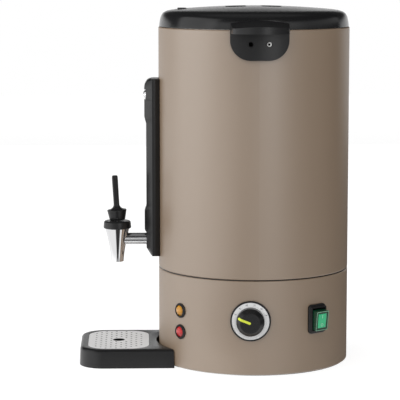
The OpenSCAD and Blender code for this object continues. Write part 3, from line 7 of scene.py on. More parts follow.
import bmesh
import bpy
import numpy as np
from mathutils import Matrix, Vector


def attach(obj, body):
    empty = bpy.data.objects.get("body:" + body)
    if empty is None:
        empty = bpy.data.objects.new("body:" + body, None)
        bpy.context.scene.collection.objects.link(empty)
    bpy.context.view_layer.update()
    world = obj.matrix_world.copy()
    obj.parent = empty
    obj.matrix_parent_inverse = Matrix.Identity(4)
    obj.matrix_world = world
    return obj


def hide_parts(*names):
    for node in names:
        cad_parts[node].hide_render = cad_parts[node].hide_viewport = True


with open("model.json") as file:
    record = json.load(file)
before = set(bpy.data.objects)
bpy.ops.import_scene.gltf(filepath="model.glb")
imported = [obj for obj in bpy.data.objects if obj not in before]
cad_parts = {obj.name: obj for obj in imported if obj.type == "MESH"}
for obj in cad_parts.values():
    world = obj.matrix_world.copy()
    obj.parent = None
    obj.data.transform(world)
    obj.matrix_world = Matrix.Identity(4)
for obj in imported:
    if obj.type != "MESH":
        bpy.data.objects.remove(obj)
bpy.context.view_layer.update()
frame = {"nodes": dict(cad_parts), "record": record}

bl_info = {
    "name": "Hot Water Urn",
    "version": (1, 0, 0),
    "blender": (4, 5, 0),
    "location": "View3D > Sidebar > Urn",
    "description": "Builds the visible surfaces and finishes of a hot water urn",
    "category": "Add Mesh",
}

MM = 0.001
TAU = 2 * math.pi
# Points of a mesh closer than this are made one, in metres.
MERGE = 1e-6

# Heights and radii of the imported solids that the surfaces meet, in millimetres. A control's place is its
# angle round the body in degrees and its height.
BODY_R = 134.0
RIM_Z = 472.5
LID_EDGE_R = 133.0
LID_EDGE_Z = 473.0
SHOULDER_R = 107.0
CROWN_Z = RIM_Z + 29.2
CROWN_DROP = 4.8
TAP_R = 193.0
PIN_Z = 203.8
LEVER_LEAN = 3.3
DIAL = (-4.7, 78.5)
LAMPS = {"amber": (-51.7, 84.0), "red": (-51.7, 54.2)}
SWITCH = (37.2, 76.4)
SCREW_X, SCREW_Z = 12.3, RIM_Z - 18.8
WELLS_R = 90.0
VENT_Y, VENT_SEAT = -101.0, 493.7
BEZEL_SEAT = 134.0
RING_FACE = 137.4
KNOB_FACE = 154.2
GAUGE_FACE = 154.4
GAUGE_WALL = 2.5
WHITE = (1, 1, 1, 1)

# Strength of the floor's own light to the eye, and of the world as a light on each side.
FLOOR_GLOW = 0.77
LIGHT_SIDE = 1.00
DARK_SIDE = 0.34
# Stage: half the floor's side and the backdrop's distance, half width and height in millimetres, and the
# camera's lens, place in metres, heading and tilt in degrees.
FLOOR_REACH = 5000
BACKDROP_X, BACKDROP_REACH, BACKDROP_TOP = -3000, 4500, 2400
LENS = 168.2955
CAMERA_PLACE = (2.6300, -0.1586, 0.5724)
CAMERA_HEADING, CAMERA_TILT = 178.193, 7.4747


def linear(red, green, blue):
    """Scene-linear colour of an 8-bit screen colour, by the sRGB curve."""
    c = np.array([red, green, blue]) / 255
    c = np.where(c <= 0.04045, c / 12.92, ((c + 0.055) / 1.055) ** 2.4)
    return tuple(float(v) for v in c)


def length(label, note, default):
    """A size property in metres from a default in millimetres."""
    return bpy.props.FloatProperty(
        name=label, description=note, default=default * MM, min=0, unit="LENGTH", precision=5
    )


def colour(label, note, default):
    """A colour property from an 8-bit screen colour."""
    return bpy.props.FloatVectorProperty(
        name=label, description=note, default=linear(*default), size=3, min=0, max=1, subtype="COLOR"
    )


class UrnSizes(bpy.types.PropertyGroup):
    """Sizes of the surfaces' soft details."""

    well_round: length("Well rounding", "Radius of the rim round each finger well of the lid", 2.0)
    well_fillet: length("Well fillet", "Radius between a finger well's wall and its floor", 2.5)
    lid_wall: length("Lid wall", "Wall thickness of the lid", 2.6)
    handle_round: length("Handle rounding", "Radius along the edges of the side handles", 1.5)
    column_round: length("Gauge rounding", "Softness of the edges of the gauge column", 1.2)
    bonnet_round: length("Bonnet rounding", "Radius along the edges of the tap's bonnet", 1.2)
    knob_round: length("Knob rounding", "Radius along the edges of the knob", 1.2)
    number_size: length("Number height", "Height of the numbers on the dial", 3.0)
    tray_fillet: length("Basin fillet", "Radius between the wall and floor of the drip basin", 3.0)


class UrnColours(bpy.types.PropertyGroup):
    """Colours of the finishes."""

    paint: colour("Paint", "Powder coat of the jacket and the base housing", (147, 123, 98))
    plastic: colour("Plastic", "Moulded black parts", (29, 29, 30))
    ring: colour("Dial ring", "Brushed ring behind the knob", (255, 255, 255))
    numbers: colour("Numbers", "Numbers on the dial ring", (96, 97, 104))
    pointer: colour("Pointer", "Bar on the knob", (230, 242, 74))
    amber: colour("Amber", "Upper lamp", (214, 150, 48))
    red: colour("Red", "Lower lamp", (205, 48, 50))
    green: colour("Green", "Window of the rocker", (46, 206, 140))
    green_side: colour("Green side", "Body of the rocker", (12, 64, 41))
    # Painted highlight: the pale rim stands for light caught on the ridge of the rocker's face.
    green_rim_highlight: colour("Green rim", "Raised rim of the rocker's face", (150, 206, 174))
    marks: colour("Marks", "On and off marks of the rocker", (150, 232, 190))


# ---- Surfaces ----


def fillet(corners, closed=False, steps=6):
    """A line through corners (a, b, radius) in which each corner is an arc that touches both of its sides."""
    points = np.array([c[:2] for c in corners], float)
    count = len(corners)
    out = []
    for i, (_, _, radius) in enumerate(corners):
        here = points[i]
        if radius <= 0 or (not closed and i in (0, count - 1)):
            out.append(here[None])
            continue
        back, ahead = points[i - 1] - here, points[(i + 1) % count] - here
        back, ahead = back / np.linalg.norm(back), ahead / np.linalg.norm(ahead)
        half = math.acos(float(np.clip(back @ ahead, -1, 1))) / 2
        middle = (back + ahead) / np.linalg.norm(back + ahead)
        centre = here + middle * radius / math.sin(half)
        reach = radius / math.tan(half)
        first, last = here + back * reach - centre, here + ahead * reach - centre
        turn = math.pi - 2 * half
        w = np.linspace(0, 1, steps + 1)[:, None]
        out.append(centre + (np.sin((1 - w) * turn) * first + np.sin(w * turn) * last) / math.sin(turn))
    return np.concatenate(out)


def conic(start, knee, end, weight, steps):
    """A curve from start to end that leaves and arrives along its sides to the knee and is fuller with more
    weight: the rational quadratic ((1-t)^2 S + 2w t(1-t) K + t^2 E) / ((1-t)^2 + 2w t(1-t) + t^2)."""
    t = np.linspace(0, 1, steps)[:, None]
    shares = np.concatenate([(1 - t) ** 2, 2 * weight * t * (1 - t), t**2], 1)
    return shares @ np.array([start, knee, end]) / shares.sum(1)[:, None]


def revolve(profile, segments):
    """Grid of a profile of (radius, height) carried once round the Z axis."""
    turn = np.arange(segments) * (TAU / segments)
    radius, height = profile[:, 0, None], profile[:, 1, None]
    return np.stack([radius * np.cos(turn), radius * np.sin(turn), height + 0 * turn], -1)


def dome(radius, rise, top, steps):
    """Profile of a ball's cap from its top to its edge; the ball's radius is (radius^2 + rise^2) / 2 rise."""
    ball = (radius**2 + rise**2) / (2 * rise)
    a = np.linspace(0, math.asin(radius / ball), steps)
    return np.stack([ball * np.sin(a), top - ball + ball * np.cos(a)], -1)


def round_rect(width, height, radius, steps):
    """Loop of a rectangle whose corners are arcs, centred on zero and run anticlockwise."""
    turn = np.linspace(0, 0.5 * math.pi, steps + 1)
    turn = (turn + 0.5 * math.pi * np.arange(4)[:, None]).ravel()
    corner = np.repeat([[1, 1], [-1, 1], [-1, -1], [1, -1]], steps + 1, 0)
    x = corner[:, 0] * (width / 2 - radius) + radius * np.cos(turn)
    y = corner[:, 1] * (height / 2 - radius) + radius * np.sin(turn)
    return np.stack([x, y], -1)


def box_distance(x, y, half_x, half_y, radius):
    """Signed distance from a rounded rectangle: that to its corner circles outside, negative inside."""
    qx, qy = np.abs(x) - half_x + radius, np.abs(y) - half_y + radius
    return np.hypot(np.maximum(qx, 0), np.maximum(qy, 0)) + np.minimum(np.maximum(qx, qy), 0) - radius


def ray_loop(centre, heading, inside, reach):
    """Where rays from centre along heading leave the region in which inside is negative, by halving."""
    low, high = np.zeros(len(heading)), np.full(len(heading), float(reach))
    for _ in range(45):
        middle = (low + high) / 2
        p = centre + heading * middle[:, None]
        within = inside(p[:, 0], p[:, 1]) < 0
        low, high = np.where(within, middle, low), np.where(within, high, middle)
    return centre + heading * low[:, None]


def wall_height(x):
    """Height of the round body's wall, seen by a piece that sits on it, at x along the wall."""
    gap = 0.1
    return np.sqrt((BODY_R + gap) ** 2 - x**2)


def layered(rows):
    """Grid of loops from pairs of flat points and their height, which is one value or one for each point."""
    return np.stack([np.column_stack([points, np.full(len(points), z)]) for points, z in rows])


def seated_ring(profile, radii, segments):
    """A ring revolved from a profile, whose back has loops of the given radii that lie on the body's wall."""
    back = revolve(np.array([[r, 0.0] for r in radii]), segments)
    back[..., 2] = wall_height(back[..., 0])
    return np.concatenate([revolve(profile, segments)[:-1], back])


def stacked(rows, steps, shift=0.0):
    """Loops of rounded rectangles from rows of width, height, corner radius and z, moved along y by shift; a
    z of zero stands for the body's wall."""
    loops = []
    for width, height, radius, z in rows:
        flat = round_rect(width, height, radius, steps) + np.array([0.0, shift])
        loops.append((flat, z or wall_height(flat[:, 0])))
    return layered(loops)


def turned(a, b, angle):
    """The two coordinates of points turned about the third axis."""
    return a * math.cos(angle) - b * math.sin(angle), a * math.sin(angle) + b * math.cos(angle)


def facing(points, angle, height):
    """Places points on the body: x runs along the wall, y is up and z points away from the body's axis."""
    x, y = turned(points[..., 2], points[..., 0], math.radians(angle))
    return np.stack([x, y, points[..., 1] + height], -1)


def front(points):
    """Turns points so that their +X points to the front of the urn."""
    return np.stack([points[..., 1], -points[..., 0], points[..., 2]], -1)


def sheet(points, wrap_rows=False, wrap_columns=True, keep=None):
    """A grid of points in millimetres with the quads between neighbours, less those that keep leaves out. The
    last row or column may join the first."""
    rows, columns = points.shape[:2]
    r = np.arange(rows if wrap_rows else rows - 1)[:, None]
    c = np.arange(columns if wrap_columns else columns - 1)[None]
    r2, c2 = (r + 1) % rows, (c + 1) % columns
    faces = np.stack([r * columns + c, r * columns + c2, r2 * columns + c2, r2 * columns + c], -1)
    return points.reshape(-1, 3), faces.reshape(-1, 4) if keep is None else faces[keep]


def mesh_of(name, sheets, merge=MERGE):
    """One mesh from several sheets, with doubled points merged, normals outwards and poles closed."""
    points, faces, start = [], [], 0
    for p, f in sheets:
        points.append(p)
        faces.append(f + start)
        start += len(p)
    mesh = bpy.data.meshes.new(name)
    mesh.from_pydata((np.concatenate(points) * MM).tolist(), [], np.concatenate(faces).tolist())
    bm = bmesh.new()
    bm.from_mesh(mesh)
    bmesh.ops.remove_doubles(bm, verts=bm.verts, dist=merge)
    bmesh.ops.dissolve_degenerate(bm, edges=bm.edges, dist=merge)
    bmesh.ops.recalc_face_normals(bm, faces=bm.faces)
    bm.to_mesh(mesh)
    bm.free()
    return mesh


def placed(name, data):
    """A new object of some data in the scene."""
    made = bpy.data.objects.new(name, data)
    bpy.context.scene.collection.objects.link(made)
    return made


def piece(name, mesh, body, slot, nodes=(), material=None, sharp=35):
    """An object of a mesh that rides on a body, takes a finish and stands for the nodes it replaces."""
    mesh.polygons.foreach_set("use_smooth", np.ones(len(mesh.polygons), bool))
    mesh.set_sharp_from_angle(angle=math.radians(sharp))
    made = placed(name, mesh)
    mesh.materials.append(material or finish(slot))
    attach(made, body)
    if nodes:
        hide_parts(*nodes)
    return made


def built(name, sheets, *rest, merge=MERGE, **more):
    """A piece made of sheets."""
    return piece(name, mesh_of(name, sheets, merge), *rest, **more)


def softened(name, node, width, body, slot):
    """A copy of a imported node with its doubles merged, its flat faces joined and its edges rounded."""
    bm = bmesh.new()
    bm.from_mesh(frame["nodes"][node].data)
    bmesh.ops.remove_doubles(bm, verts=bm.verts, dist=MERGE)
    bmesh.ops.dissolve_limit(bm, angle_limit=math.radians(0.5), verts=bm.verts, edges=bm.edges)
    bmesh.ops.recalc_face_normals(bm, faces=bm.faces)
    mesh = bpy.data.meshes.new(name)
    bm.to_mesh(mesh)
    bm.free()
    if "custom_normal" in mesh.attributes:
        mesh.attributes.remove(mesh.attributes["custom_normal"])
    made = piece(name, mesh, body, slot, (node,))
    bevel = made.modifiers.new("Rounded edges", "BEVEL")
    bevel.width = width
    bevel.segments = 3
    bevel.limit_method = "ANGLE"
    bevel.angle_limit = math.radians(28)
    made.modifiers.new("Even shading", "WEIGHTED_NORMAL").keep_sharp = True


def thicken(made, thickness):
    """Gives an open sheet a wall that grows inwards."""
    wall = made.modifiers.new("Wall", "SOLIDIFY")
    wall.thickness = thickness
    wall.offset = -1
    wall.use_even_offset = True


# ---- Finishes ----


class Nodes:
    """A short way to add and join the nodes of one material."""

    def __init__(self, tree):
        self.tree = tree

    def add(self, kind, inputs=(), **settings):
        """A new node of a kind with its settings and inputs."""
        node = self.tree.nodes.new("ShaderNode" + kind)
        for key, value in settings.items():
            setattr(node, key, value)
        return self.put(node, dict(inputs))

    def put(self, node, inputs):
        """Joins sockets and writes constants to the inputs of a node."""
        for key, value in inputs.items():
            if isinstance(value, bpy.types.NodeSocket):
                self.tree.links.new(value, node.inputs[key])
            else:
                node.inputs[key].default_value = value
        return node

    def math(self, operation, a, b=0.0):
        """Output of a Math node on one or two values."""
        return self.add("Math", {0: a, 1: b}, operation=operation).outputs[0]

    def ramp(self, value, start, end, low, high):
        """Smooth step of a value from low at start to high at end."""
        limits = {"Value": value, "From Min": start, "From Max": end, "To Min": low, "To Max": high}
        return self.add("MapRange", limits, interpolation_type="SMOOTHSTEP").outputs[0]

    def levels(self, value, reach, *stops):
        """A level, for values from -reach to reach, that runs straight between stops of (value, level)."""
        share = self.add("MapRange", {"Value": value, "From Min": -reach, "From Max": reach}).outputs[0]
        ramp = self.add("ValToRGB", {0: share})
        elements = ramp.color_ramp.elements
        elements.remove(elements[1])
        for i, (place, level) in enumerate(stops):
            share = (place + reach) / (2 * reach)
            element = elements.new(share) if i else elements[0]
            element.position = share
            element.color = (level, level, level, 1)
        return ramp.outputs[0]

    def total(self, *values):
        """The sum of several values."""
        return functools.reduce(functools.partial(self.math, "ADD"), values)

    def product(self, *values):
        """The product of several values."""
        return functools.reduce(functools.partial(self.math, "MULTIPLY"), values)

    def mix(self, share, a, b):
        """A value that goes from a to b as share goes from 0 to 1."""
        return self.add("Mix", {0: share, 2: a, 3: b}, data_type="FLOAT").outputs[0]

    def axes(self, vector):
        """The three parts of a vector."""
        return self.add("SeparateXYZ", {0: vector}).outputs

    def rays(self):
        """Whether a ray comes from the eye, straight or through glass, and whether it is a reflection."""
        path = self.add("LightPath").outputs
        return self.math("MAXIMUM", path["Is Camera Ray"], path["Is Transmission Ray"]), path["Is Glossy Ray"]


def make_finish(name, base, rough, metal=0.0, mottle=0.06, mottle_scale=14.0, grain=0.1, grain_scale=900.0,
                rough_spread=0.06, stretch=(1, 1, 1), specular=0.5, coat=0.0, transmission=0.0, ior=1.5,
                walls=1.0):
    """A finish whose colour drifts with a broad noise and whose roughness and bump follow a fine one; faces
    that don't look up or down can be darkened as painted shade."""
    material = bpy.data.materials.new(name)
    material.use_nodes = True
    n = Nodes(material.node_tree)
    spot = n.add("TexCoord").outputs
    place = n.add("Mapping", {"Vector": spot["Object"], "Scale": stretch}).outputs[0]
    broad, fine = (
        n.add("TexNoise", {"Vector": place, "Scale": scale, "Detail": detail, "Roughness": roughness}).outputs
        for scale, detail, roughness in ((mottle_scale, 3.0, 0.55), (grain_scale, 2.0, 0.6)))
    low = [max(c * (1 - mottle), 0) for c in base] + [1]
    high = [min(c * (1 + mottle), 1) for c in base] + [1]
    mix = n.add("Mix", {0: broad["Fac"], 6: low, 7: high}, data_type="RGBA").outputs[2]
    specks = {0: 0.35 * mottle, 6: mix, 7: fine["Color"]}
    shade = n.add("Mix", specks, data_type="RGBA", blend_type="OVERLAY").outputs[2]
    # Painted shade: faces that don't look up or down, such as the walls of holes, are darkened by a factor.
    if walls < 1:
        level = n.math("ABSOLUTE", n.axes(spot["Normal"])["Z"])
        painted_shade_scale = {0: shade, "Scale": n.ramp(level, 0.5, 0.9, walls, 1.0)}
        shade = n.add("VectorMath", painted_shade_scale, operation="SCALE").outputs[0]
    spread = {"Value": fine["Fac"], "From Min": 0.3, "From Max": 0.7,
              "To Min": max(rough - rough_spread, 0.01), "To Max": rough + rough_spread}
    bump = {"Height": fine["Fac"], "Strength": grain, "Distance": 0.0002}
    n.put(material.node_tree.nodes["Principled BSDF"], {
        "Base Color": shade, "Roughness": n.add("MapRange", spread).outputs[0],
        "Normal": n.add("Bump", bump).outputs[0], "Metallic": metal, "Specular IOR Level": specular,
        "Coat Weight": coat, "Coat Roughness": 0.08, "IOR": ior, "Transmission Weight": transmission})
    return material


def finish_table():
    """What each material slot of the record looks like."""
    c = bpy.context.scene.urn_colours
    lamp = dict(rough=0.16, mottle=0.15, mottle_scale=260, grain=0.05, grain_scale=700, coat=0.6)
    return {
        "taupe_paint": dict(base=c.paint, rough=0.42, mottle=0.03, mottle_scale=9, grain_scale=1300,
                            specular=1.0, ior=1.8),
        "black_plastic": dict(base=c.plastic, rough=0.31, mottle=0.10, mottle_scale=24, grain=0.12,
                              grain_scale=1700, specular=0.4),
        "stainless": dict(base=(0.62, 0.61, 0.60), rough=0.27, metal=1, mottle=0.05, grain=0.08,
                          grain_scale=260, stretch=(1, 12, 12)),
        "plated_steel": dict(base=(0.58, 0.58, 0.57), rough=0.24, metal=1, mottle=0.08, grain=0.06,
                             grain_scale=700),
        "chrome": dict(base=(0.80, 0.80, 0.81), rough=0.07, metal=1, mottle=0.015, grain=0.01,
                       grain_scale=300, rough_spread=0.02),
        "aluminium": dict(base=(0.66, 0.66, 0.67), rough=0.36, metal=1, mottle=0.05, grain_scale=500),
        "brass": dict(base=(0.62, 0.45, 0.18), rough=0.3, metal=1, mottle=0.08, grain=0.06, grain_scale=500),
        "rubber": dict(base=linear(34, 33, 33), rough=0.72, mottle=0.1, grain=0.2, grain_scale=800,
                       specular=0.3),
        "silicone": dict(base=linear(214, 216, 210), rough=0.5, mottle=0.03, grain=0.06, grain_scale=500),
        "white_plastic": dict(base=linear(226, 225, 220), rough=0.42, mottle=0.03, grain=0.05),
        "yellow_plastic": dict(base=c.pointer, rough=0.35, mottle=0.04, mottle_scale=160, grain=0.06,
                               grain_scale=1500),
        "amber_plastic": dict(base=c.amber, **lamp),
        "red_plastic": dict(base=c.red, **lamp),
        "green_plastic": dict(base=c.green_side, rough=0.3, mottle=0.08, mottle_scale=120, grain=0.05,
                              coat=0.3),
        "clear_tube": dict(base=(0.93, 0.95, 0.95), rough=0.04, mottle=0.01, grain=0.01, grain_scale=200,
                           transmission=1.0, rough_spread=0.01, ior=1.47),
        "wire_cover": dict(base=linear(150, 60, 44), rough=0.45, mottle=0.08, grain=0.06),
    }


FINISHES = {}


def finish(slot, **changes):
    """The material of a slot, made the first time it is asked for; changes give a variant of it."""
    key = (slot, *sorted(changes.items()))
    if key not in FINISHES:
        name = "_".join([slot, *sorted(changes)])
        FINISHES[key] = make_finish(name, **{**finish_table()[slot], **changes})
    return FINISHES[key]


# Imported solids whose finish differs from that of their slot.
OWN_FINISH = {
    # The grid's hole walls are darkened to near black as painted shade.
    "drip_grid": dict(base=(0.97, 0.97, 0.97), rough=0.42, metal=0.2, walls=0.06),
    "tap_shank": dict(rough=0.2),
    "lever_pin": dict(base=(0.10, 0.10, 0.10), rough=0.45),
}


class URN_OT_finishes(bpy.types.Operator):
    """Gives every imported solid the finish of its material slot, or its own."""

    bl_idname = "urn.finishes"
    bl_label = "Finishes"

    def execute(self, context):
        slots = {part["node"]: part["material_slot"] for part in frame["record"]["subparts"]}
        for name, node in frame["nodes"].items():
            node.data.materials.clear()
            node.data.materials.append(finish(slots[name], **OWN_FINISH.get(name, {})))
        return {"FINISHED"}


# ---- Lid ----


def crown(x, y):
    """Height of the lid's top: a paraboloid that drops from its middle to its shoulder."""
    return CROWN_Z - CROWN_DROP * (x**2 + y**2) / SHOULDER_R**2


def vent_recess(x, y, z):
    """Sinks the part of the lid under the steam vent to a flat seat with a steep, short wall."""
    wall_r, width = 8.55, 0.9
    t = np.clip((np.hypot(x, y - VENT_Y) - wall_r) / width, 0, 1)
    return VENT_SEAT + (z - VENT_SEAT) * t * t * (3 - 2 * t)


class URN_OT_lid(bpy.types.Operator):
    """Lid with two finger wells, and the steam vent in its recess."""

    bl_idname = "urn.lid"
    bl_label = "Lid"

    def execute(self, context):
        s = context.scene.urn_sizes
        # Angles of the rings, close together across the steam vent and its mirror image.
        near = np.linspace(84, 96, 61)
        turn = np.radians(np.concatenate([np.linspace(0, 84, 45)[:-1], near, np.linspace(96, 180, 45)[1:]]))
        half = self.half(turn, s.well_round / MM, s.well_fillet / MM)
        sheets = [sheet(half), sheet(half * np.array([1, -1, 1])), sheet(self.shoulder(turn))]
        gloss = finish("black_plastic", rough=0.20, grain=0.06, specular=0.5, rough_spread=0.03)
        lid = built("lid_cover", sheets, "lid", "black_plastic", ("lid_shell",), gloss, merge=2 * MERGE)
        thicken(lid, s.lid_wall)
        button = fillet([(0, 493.6, 0), (8.4, 493.6, 0), (8.4, 495.7, 0.3), (6.5, 495.9, 0.3),
                         (6.3, 498.9, 0.6), (0, 499.0, 0)])
        button = revolve(button, 64) + np.array([0.0, VENT_Y, 0.0])
        built("vent_button", [sheet(button)], "lid", "black_plastic", ("steam_vent",))
        return {"FINISHED"}

    def half(self, turn, rim, foot):
        """Loops from the floor of one finger well up its wall and out over one half of the lid's middle; rim
        and foot are the radii at the top and the bottom of the wall."""
        well_y, floor_z = 25.25, CROWN_Z - 15.0
        half_x, half_y, corner = 31.0, 14.0, 12.0
        arc = WELLS_R * np.stack([np.cos(turn), np.sin(turn)], -1)
        line = np.stack([np.linspace(-WELLS_R, WELLS_R, 62)[1:-1], np.zeros(60)], -1)
        outline = np.concatenate([arc, line])
        centre = np.array([0.0, well_y])
        heading = outline - centre
        heading /= np.linalg.norm(heading, axis=1)[:, None]

        def loop(offset):
            def inside(x, y):
                round_r = max(corner + offset, 0.2)
                return box_distance(x, y - well_y, half_x + offset, half_y + offset, round_r)
            return ray_loop(centre, heading, inside, 80)

        base = loop(-foot)
        rows = [(centre + share * (base - centre), floor_z) for share in (0.0, 0.3, 0.6, 0.85)]
        for a in np.radians(np.linspace(0, 90, 6)):
            rows.append((loop(-foot + foot * math.sin(a)), floor_z + foot * (1 - math.cos(a))))
        wall = rows[-1][0]
        top = crown(*wall.T) - rim
        rows += [(wall, floor_z + foot + share * (top - floor_z - foot)) for share in (0.33, 0.66, 1.0)]
        for a in np.radians(np.linspace(0, 90, 7)[1:]):
            p = loop(rim - rim * math.cos(a))
            rows.append((p, crown(*p.T) - rim + rim * math.sin(a)))
        lip = rows[-1][0]
        for share in np.linspace(0, 1, 10)[1:]:
            p = lip + share * (outline - lip)
            rows.append((p, crown(*p.T)))
        return layered(rows)

    def shoulder(self, turn):
        """Rings from the lid's middle over its shoulder to its edge, with the recess of the steam vent. The
        shoulder's knee is where the crown's slope meets the side's lean."""
        shoulder_z, side = CROWN_Z - CROWN_DROP, (LID_EDGE_R - 0.09, LID_EDGE_Z + 0.9)
        shoulder = conic((SHOULDER_R, shoulder_z), (130.8, shoulder_z - 2.1), side, 2.1, 41)
        vent_rows = np.concatenate([[WELLS_R, 91], np.linspace(91.4, 110.6, 45)])
        vent_z = np.where(vent_rows <= SHOULDER_R, crown(vent_rows, 0), np.interp(vent_rows, *shoulder.T))
        edge = fillet([(*side, 0), (LID_EDGE_R, LID_EDGE_Z, 0.5), (LID_EDGE_R - 3, LID_EDGE_Z, 0)])
        rows = np.concatenate([np.stack([vent_rows, vent_z], -1), shoulder[shoulder[:, 0] > 111], edge[1:-1]])
        radii, height = rows.T
        around = np.concatenate([turn, -turn[-2:0:-1]])
        x, y = radii[:, None] * np.cos(around), radii[:, None] * np.sin(around)
        return np.stack([x, y, vent_recess(x, y, height[:, None] + 0 * x)], -1)


# ---- Side handles ----


class URN_OT_handles(bpy.types.Operator):
    """Side handles with rounded edges, and their screws."""

    bl_idname = "urn.handles"
    bl_label = "Side handles"

    def execute(self, context):
        width = context.scene.urn_sizes.handle_round
        for side in ("right", "left"):
            softened(f"handle_grip_{side}", f"handle_{side}", width, "root", "black_plastic")
        self.screws()
        return {"FINISHED"}

    def screws(self):
        """Socket screws with a chamfered rim; sockets near black, one screw of each pair black: painted
        shade.
        """
        head_r, shank_r, socket = 3.4, 2.0, 1.4
        end, seat, top = BODY_R - 8, BODY_R + 2.7, BODY_R + 5.1
        profile = fillet([(0, top - 1.6, 0), (socket, top - 1.6, 0), (socket, top - 0.2, 0), (1.7, top, 0.1),
                          (head_r, top, 0.5), (head_r, seat, 0.2), (shank_r, seat, 0), (shank_r, end, 0),
                          (0, end, 0)])
        screws = [sheet(facing(revolve(profile, 48) + np.array([x, 0, 0]), angle, SCREW_Z))
                  for angle in (0, 180) for x in (-SCREW_X, SCREW_X)]
        mesh = built("handle_bolts", screws, "root", "plated_steel", ("handle_screws",)).data
        # A near-black finish without reflection and black plastic: painted shade for sockets and for the
        # screws shown dark.
        mesh.materials.append(finish("black_plastic", base=(0.002, 0.002, 0.002), rough=0.9, specular=0.0))
        mesh.materials.append(finish("black_plastic"))
        centres = np.zeros(len(mesh.polygons) * 3)
        mesh.polygons.foreach_get("center", centres)
        x, y, z = centres.reshape(-1, 3).T / MM
        # Painted shade: faces near a screw's axis are near black without reflection, wider on the screw
        # painted black.
        away = np.hypot(np.abs(y) - SCREW_X, z - SCREW_Z)
        shaded_screw = x * y < 0
        index = np.where(away < np.where(shaded_screw, 2.7, 2.05), 1, np.where(shaded_screw, 2, 0))
        mesh.polygons.foreach_set("material_index", index)


# ---- Level gauge ----


class URN_OT_gauge(bpy.types.Operator):
    """Gauge column and the domed screw that holds it."""

    bl_idname = "urn.gauge"
    bl_label = "Level gauge"

    def execute(self, context):
        soft = context.scene.urn_sizes.column_round / MM
        side_r, face_r, boss_r, half_w, root_r = 143.4, 151.7, GAUGE_FACE, 19.6, BODY_R - 1.6
        low, high, screw_z = 149.8, 400.3, 377.7
        bevel = boss_r - side_r
        plan = fillet([(root_r, -half_w, 0), (side_r, -half_w, soft), (boss_r, bevel - half_w, soft),
                       (boss_r, half_w - bevel, soft), (side_r, half_w, soft), (root_r, half_w, 0)], steps=5)
        slot_low, slot_high, slot_half = 225.25, 333.3, 3.5
        # Two columns of points along the slot's sides.
        cut = np.array([[boss_r, -slot_half], [boss_r, slot_half]])
        middle = len(plan) // 2
        plan = np.concatenate([plan[:middle], cut, plan[middle:]])
        bend = np.radians(np.linspace(6, 84, 9))
        crest_x, crest_h = 145.0, 14.8
        crest = [(crest_x + (boss_r - crest_x) * math.cos(a), high - crest_h + crest_h * math.sin(a), 0)
                 for a in bend]
        outline = fillet([
            (side_r - 2, low, 0), (145.1, low, 1.6), (face_r, low + 11.0, soft), (face_r, 182.25, soft),
            (boss_r, 187.25, soft), (boss_r, 213.25, soft), (face_r, 220.25, soft), (face_r, 337.3, soft),
            (boss_r, 347.3, soft), (boss_r, screw_z - 7.3, 0.4), (boss_r - 2.3, screw_z - 7.1, 0.4),
            (boss_r - 2.3, screw_z + 7.1, 0.4), (boss_r, screw_z + 7.3, 0.2), *crest, (side_r - 2, high, 0),
            (side_r - 4, high, 0)], steps=4)
        # Rows close enough that the two forms' common edge is smooth, with a row at each end of the slot.
        heights = np.concatenate([np.linspace(low, high, 320), outline[:, 1], [slot_low, slot_high]])
        heights = np.unique(heights[(heights >= low) & (heights <= high)])
        heights = heights[np.concatenate([[True], np.diff(heights) > 0.04])]
        x_plan, x_side = plan[:, 0][None], np.interp(heights, outline[:, 1], outline[:, 0])[:, None]
        gap = np.clip(0.5 + 0.5 * (x_side - x_plan) / soft, 0, 1)
        x = np.maximum(x_side + (x_plan - x_side) * gap - soft * gap * (1 - gap) * 0.5, 130.0)
        # A row at the wall closes each end.
        x, heights = np.pad(x, ((1, 1), (0, 0)), constant_values=root_r), np.pad(heights, 1, mode="edge")
        points = np.stack([x, plan[:, 1][None] + 0 * x, heights[:, None] + 0 * x], -1)
        z_mid = (points[:-1, :-1, 2] + points[1:, :-1, 2]) / 2
        y_mid = (points[:-1, :-1, 1] + points[:-1, 1:, 1]) / 2
        in_slot = (z_mid > slot_low) & (z_mid < slot_high) & (np.abs(y_mid) < slot_half)
        column = [sheet(front(points), wrap_columns=False, keep=~in_slot)]
        thicken(built("gauge_housing", column, "root", "black_plastic", ("gauge_column",)), GAUGE_WALL * MM)

        seat, head_r, head_h = boss_r - 2.3, 6.3, 3.9
        profile = np.concatenate([dome(head_r, head_h, seat + head_h, 14),
                                  [[head_r, seat], [2.5, seat], [2.5, BODY_R - 8], [0, BODY_R - 8]]])
        screw = facing(revolve(profile, 64), -90, screw_z)
        built("gauge_screw", [sheet(screw)], "root", "chrome", ("column_screw",))
        return {"FINISHED"}


# ---- Tap ----


